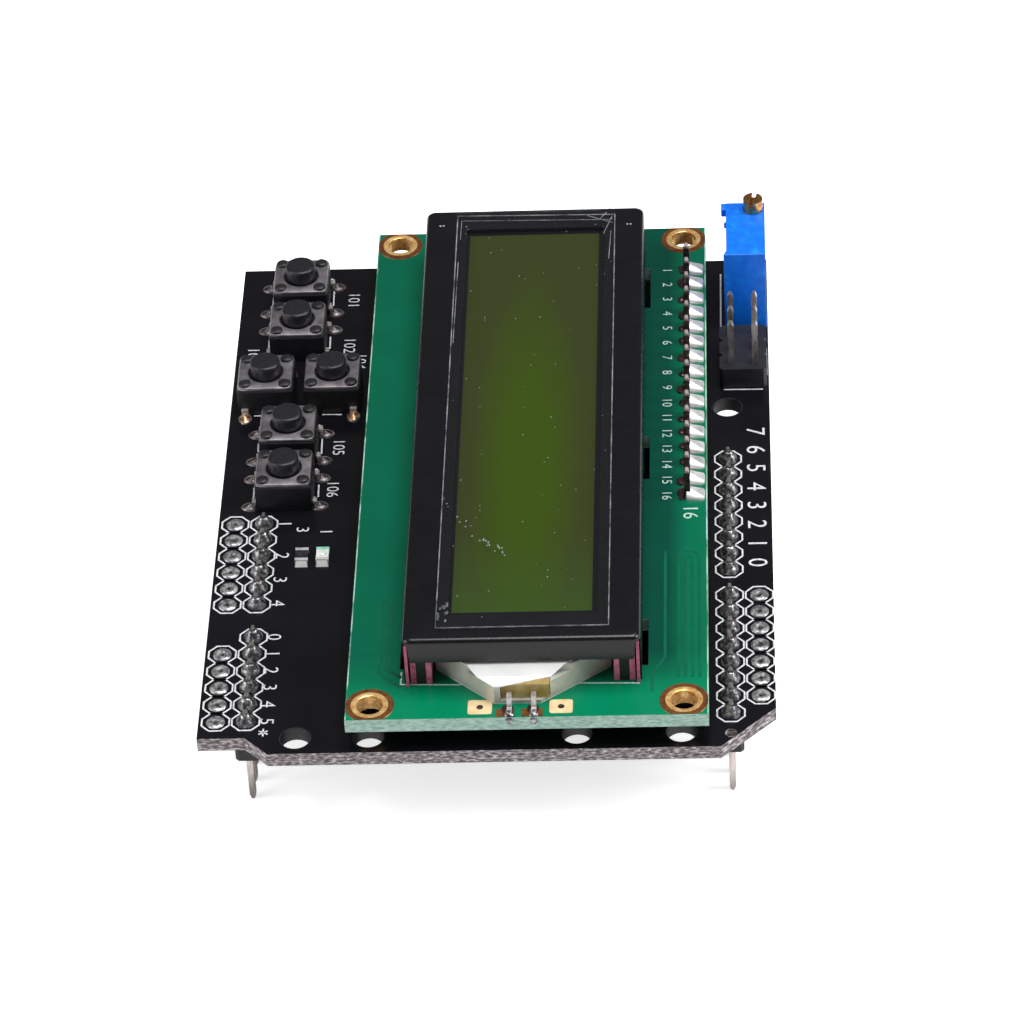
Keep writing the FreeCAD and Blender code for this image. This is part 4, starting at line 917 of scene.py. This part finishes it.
VIEW_X, VIEW_Y, VIEW_HALF = 3.85, 0.6, (6.95, 30.9)
GLOW_Y, GLOW_HALF = -7.0, 38.0
# Painted glow: lighter and greener in the middle, greyer and darker towards the rim.
spread = add(tree, "ShaderNodeMath", {0: off_centre("X", VIEW_X, VIEW_HALF[0], 2.0),
        1: off_centre("Y", GLOW_Y, GLOW_HALF, 2.0)}, operation="ADD")
wobble = add(tree, "ShaderNodeMath", {0: mottle(tree, place, 9.0), 1: spread, 2: spread},
             operation="MULTIPLY_ADD")
glow = add(tree, "ShaderNodeValToRGB", {"Fac": wobble}, [(0.12, "#344a00"), (0.45, "#344409"),
        (0.8, "#333f10"), (1.0, "#323a15")])
tree.links.new(glow.outputs["Color"], shader.inputs["Base Color"])
# Greener towards the near end.
blend_in(film_green, along(film_green, "Y", -18.0, -32.0, 0.6), "#34521a")
edge_share = add(tree, "ShaderNodeMath", {0: off_centre("X", VIEW_X, VIEW_HALF[0]),
        1: off_centre("Y", VIEW_Y, VIEW_HALF[1])}, operation="MAXIMUM")
border = add(tree, "ShaderNodeMath", {0: edge_share, 1: 1.0}, operation="GREATER_THAN")
blend_in(film_green, border, "#111217")
uneven = add(tree, "ShaderNodeMapRange", {"Value": mottle(tree, place, 2.0)}, to_min=0.14,
             to_max=0.22)
tree.links.new(uneven.outputs["Result"], shader.inputs["Roughness"])
shader.inputs["Specular IOR Level"].default_value = 0.3
dress("front_polariser", film_green)
dress("rear_polariser", film_green)

pane = mottled("ground_edge_glass", 1.5, [(0.3, "#39463c"), (0.7, "#5c6a58")],
               rough=(0.5, 0.1, 0.4))
dress("front_glass", pane)
dress("rear_glass", pane)

film_clear = mottled("clear_protective_film", 3.0, [(0.0, "#7f8486"), (1.0, "#7f8486")],
                     rough=(3.0, 0.06, 0.2), bump=(5.0, 0.05), alpha=0.01)
# The film's cut edges, pale and half clear: a painted glint. The same finish serves its dust and
# scuffs.
film_edge_glint_and_dust = mottled("film_edge_painted_glint_and_dust", 2.0, [(0.35, "#5c6166"), (0.65, "#c9cdd0")], rough=0.25,
                    alpha=0.42)
film_low, film_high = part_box("protective_film")
x0, y0 = film_low[0] / METRE, film_low[1] / METRE
x1, y1 = film_high[0] / METRE, film_high[1] / METRE
FILM_UNDER, FILM_THICK = 20.5, 0.08
bm = bmesh.new()
ACROSS, ALONG = 18, 70


def film_height(u, v):
    """The film lies flat, lifts a little at its rim and creases at its far right corner."""
    rim = max(0.0, 1 - 12 * min(u, 1 - u, v * 3, (1 - v) * 3))
    crease = max(0.0, 1 - 6 * math.hypot(1 - u,
            (1 - v) * 3.2)) * (0.5 + 0.5 * math.sin(26 * (u + v)))
    return 0.10 * rim * (0.6 + 0.4 * math.sin(9 * v + 3 * u)) + 0.35 * crease


top, under = [], []
for j in range(ALONG + 1):
    v = j / ALONG
    top_row, under_row = [], []
    for i in range(ACROSS + 1):
        u = i / ACROSS
        x, y = x0 + (x1 - x0) * u, y0 + (y1 - y0) * v
        z = FILM_UNDER + 0.01 + film_height(u, v)
        top_row.append(bm.verts.new((x, y, z + FILM_THICK)))
        under_row.append(bm.verts.new((x, y, z)))
    top.append(top_row)
    under.append(under_row)
for j in range(ALONG):
    for i in range(ACROSS):
        bm.faces.new((top[j][i], top[j][i + 1], top[j + 1][i + 1], top[j + 1][i]))
        bm.faces.new((under[j][i], under[j + 1][i], under[j + 1][i + 1], under[j][i + 1]))
for j in range(ALONG):
    for i in (0, ACROSS):
        bm.faces.new((top[j][i], top[j + 1][i], under[j + 1][i], under[j][i])).material_index = 1
for i in range(ACROSS):
    for j in (0, ALONG):
        bm.faces.new((top[j][i], top[j][i + 1], under[j][i + 1], under[j][i])).material_index = 1
put("creased_film", bm, (film_clear, film_edge_glint_and_dust), "clear_film", "protective_film", smooth=60)

# Rim of the protective film: a pale line round its cut edge is a painted highlight, with dust and
# a scuff on it, and two pairs of nicks in the paint beside it.
bm = bmesh.new()
RIM_LOW, RIM_HIGH = 20.62, 20.68
corners = [(-4.55, -33.3), (12.48, -33.3), (12.5, 33.9), (-4.5, 34.2)]
line(bm, corners, 0.1, RIM_LOW, RIM_HIGH, closed=True)
line(bm, [(-4.1, 30.0), (-4.05, 33.3), (12.0, 33.0)], 0.05, RIM_LOW, RIM_HIGH)
for points in ([(10.9, 33.2), (11.6, 34.3)], [(11.3, 30.5), (12.2, 33.6)],
               [(9.5, 33.8), (12.3, 32.4)], [(11.9, 26.0), (12.1, 31.0)],
               [(-4.3, 12.0), (-4.2, 26.0)]):
    line(bm, points, 0.07, RIM_LOW, RIM_HIGH)
dust_places = random.Random(11)
for k in range(70):
    x, y = dust_places.uniform(-4.2, 12.2), dust_places.uniform(-32.5, 33.5)
    turned(bm, [(0.07, RIM_LOW), (0.02, RIM_HIGH)], x, y, 6, long=dust_places.uniform(0.7, 1.8))
for k in range(22):
    share = dust_places.random()
    x = -4.3 + 6.6 * share + dust_places.uniform(-0.3, 0.3)
    y = -12.5 - 10.0 * share ** 0.6 + dust_places.uniform(-0.5, 0.5)
    turned(bm, [(0.10, RIM_LOW), (0.03, RIM_HIGH)], x, y, 6, long=dust_places.uniform(0.7, 2.4))
for k in range(14):
    x, y = -4.0 + dust_places.uniform(-0.5, 0.6), -31.2 + dust_places.uniform(-1.2, 1.6)
    turned(bm, [(0.14, RIM_LOW), (0.04, RIM_HIGH)], x, y, 6, long=dust_places.uniform(0.7, 2.2))
put("film_rim_glint_and_dust", bm, film_edge_glint_and_dust, "clear_film")
bare_steel = mottled("nicked_paint", 0.3, [(0.35, "#77777c"), (0.6, "#b9b9bd")], rough=0.5)
bm = bmesh.new()
for x, y in ((-6.35, 32.7), (-6.0, 32.7), (13.85, 32.3), (14.2, 32.3)):
    turned(bm, [(0.13, BEZEL_TOP - 0.01), (0.12, BEZEL_TOP + 0.01)], x, y, 10)
put("paint_nicks", bm, bare_steel, "bezel_paint")

# Contact strips: layered silicone, pink with a dark conducting core, pressed between the glass
# and the board along both sides of the light guide.
silicone = mottled("pink_silicone_with_dark_core", 0.8, [(0.3, "#c4547c"), (0.7, "#e58ba8")],
                   rough=0.55)
tree = silicone.node_tree
spot = add(tree, "ShaderNodeSeparateXYZ",
           {"Vector": tree.nodes["Texture Coordinate"].outputs["Object"]})
STRIP_FROM_MIDDLE, CORE_HALF = 10.05, 0.5
distance = spot.outputs["X"]
for nearer in (BEZEL_X, STRIP_FROM_MIDDLE):
    moved = add(tree, "ShaderNodeMath", {0: distance, 1: nearer * METRE}, operation="SUBTRACT")
    distance = add(tree, "ShaderNodeMath", {0: moved}, operation="ABSOLUTE")
in_core = add(tree, "ShaderNodeMath", {0: distance, 1: CORE_HALF * METRE}, operation="LESS_THAN")
blend_in(silicone, in_core, "#1d181b")
bm = bmesh.new()
for x in (-7.72, 15.12):
    block(bm, (x, x + 0.3), (-34.75, -34.35), (LCD_FACE, BEZEL_TOP - 0.9))
squeezed = mottled("pink_silicone_lip", 0.7, [(0.3, "#b8486f"), (0.7, "#de7f9f")], rough=0.5)
put("squeezed_strip_lips", bm, squeezed, "elastomer")
dress("left_zebra_strip", silicone)
dress("right_zebra_strip", silicone)

# Light guide, its white film and the side lamp: translucent acrylic that narrows to the lamp,
# an amber resin block whose silver leads are soldered over the board's edge.
acrylic = mottled("translucent_acrylic", 2.0, [(0.3, "#c8cbbe"), (0.7, "#e6e4da")], rough=0.18,
                  transmission_weight=0.25, coat_weight=0.4)
dress("light_guide", acrylic)
white_film = mottled("white_diffuser_film", 3.0, [(0.3, "#eef0ee"), (0.7, "#fbfcfa")], rough=0.4)
dress("diffuser_film", white_film)
dress("reflector_film", white_film)
amber = mottled("amber_resin_package", 1.3, [(0.3, "#94803f"), (0.7, "#c2a872")], rough=0.2,
                coat_weight=0.6)
dress("backlight_led", amber)
bm = bmesh.new()
for x in (2.56, 4.98):
    rings = []
    for y, half, z, tall in ((-38.0, 0.24, 0.05, 0.06), (-38.35, 0.34, 0.08, 0.14),
                             (-38.8, 0.42, 0.08, 0.2), (-39.2, 0.46, 0.03, 0.22),
                             (-39.45, 0.43, -0.15, 0.25), (-39.58, 0.36, -0.55, 0.3)):
        rings.append([(x + half * math.cos(math.tau * k / 16), y,
                       LCD_FACE + z + tall * math.sin(math.tau * k / 16)) for k in range(16)])
    loft(bm, rings)
put("lamp_lead_joints", bm, aged, "solder", smooth=60)

# Contrast trimmer: moulded blue thermoplastic, fine ground, with nibs where the mould parts.
# Its screw is turned brass, and keeps its place in the solids.
azure = mottled("moulded_blue_thermoplastic", 1.0, [(0.3, "#006cf0"), (0.6, "#007cfc"),
        (0.8, "#1c94ff")], rough=(0.5, 0.32, 0.5), bump=(0.2, 0.008))
bm = bmesh.new()
X0, X1, Y0, Y1 = 24.44, 28.64, 26.92, 36.22
NIB = 0.5
prism(bm, [(X0, Y0), (X1, Y0), (X1, Y1), (X0, Y1), (X0, Y0 + 0.9), (X0 - 0.3, Y0 + 0.1),
           (X0 - 0.3, Y0)], 10.4, 20.1)
prism(bm, [(X0 + 0.1, Y1 - 0.02), (X0 - NIB, Y1 - 0.02), (X0 - NIB, Y1 - 1.2),
           (X0 + 0.1, Y1 - 1.2)], 19.1, 20.07)
prism(bm, [(X0 + 0.1, Y1 - 3.1), (X0 - 0.25, Y1 - 3.5), (X0 + 0.1, Y1 - 3.7)], 19.3, 20.05)
for x, y in ((X0, Y0), (X1 - 1.2, Y0), (X0, Y1 - 1.2), (X1 - 1.2, Y1 - 1.2)):
    block(bm, (x + 0.02, x + 1.18), (y + 0.02, y + 1.18), (10.1, 10.45))
housing = put("trimmer_body", bm, azure, "blue_plastic", "trimmer_housing")
soft_edge = housing.modifiers.new("moulded_edge", "BEVEL")
soft_edge.width = 0.1 * METRE
soft_edge.segments = 2
brass = mottled("turned_brass", 0.6, [(0.3, "#a8703a"), (0.55, "#d9a05e"), (0.75, "#f0c890")],
                rough=(0.2, 0.2, 0.4, 3.0, (1, 1, 3)), metallic=1.0)
dress("trimmer_screw", brass)
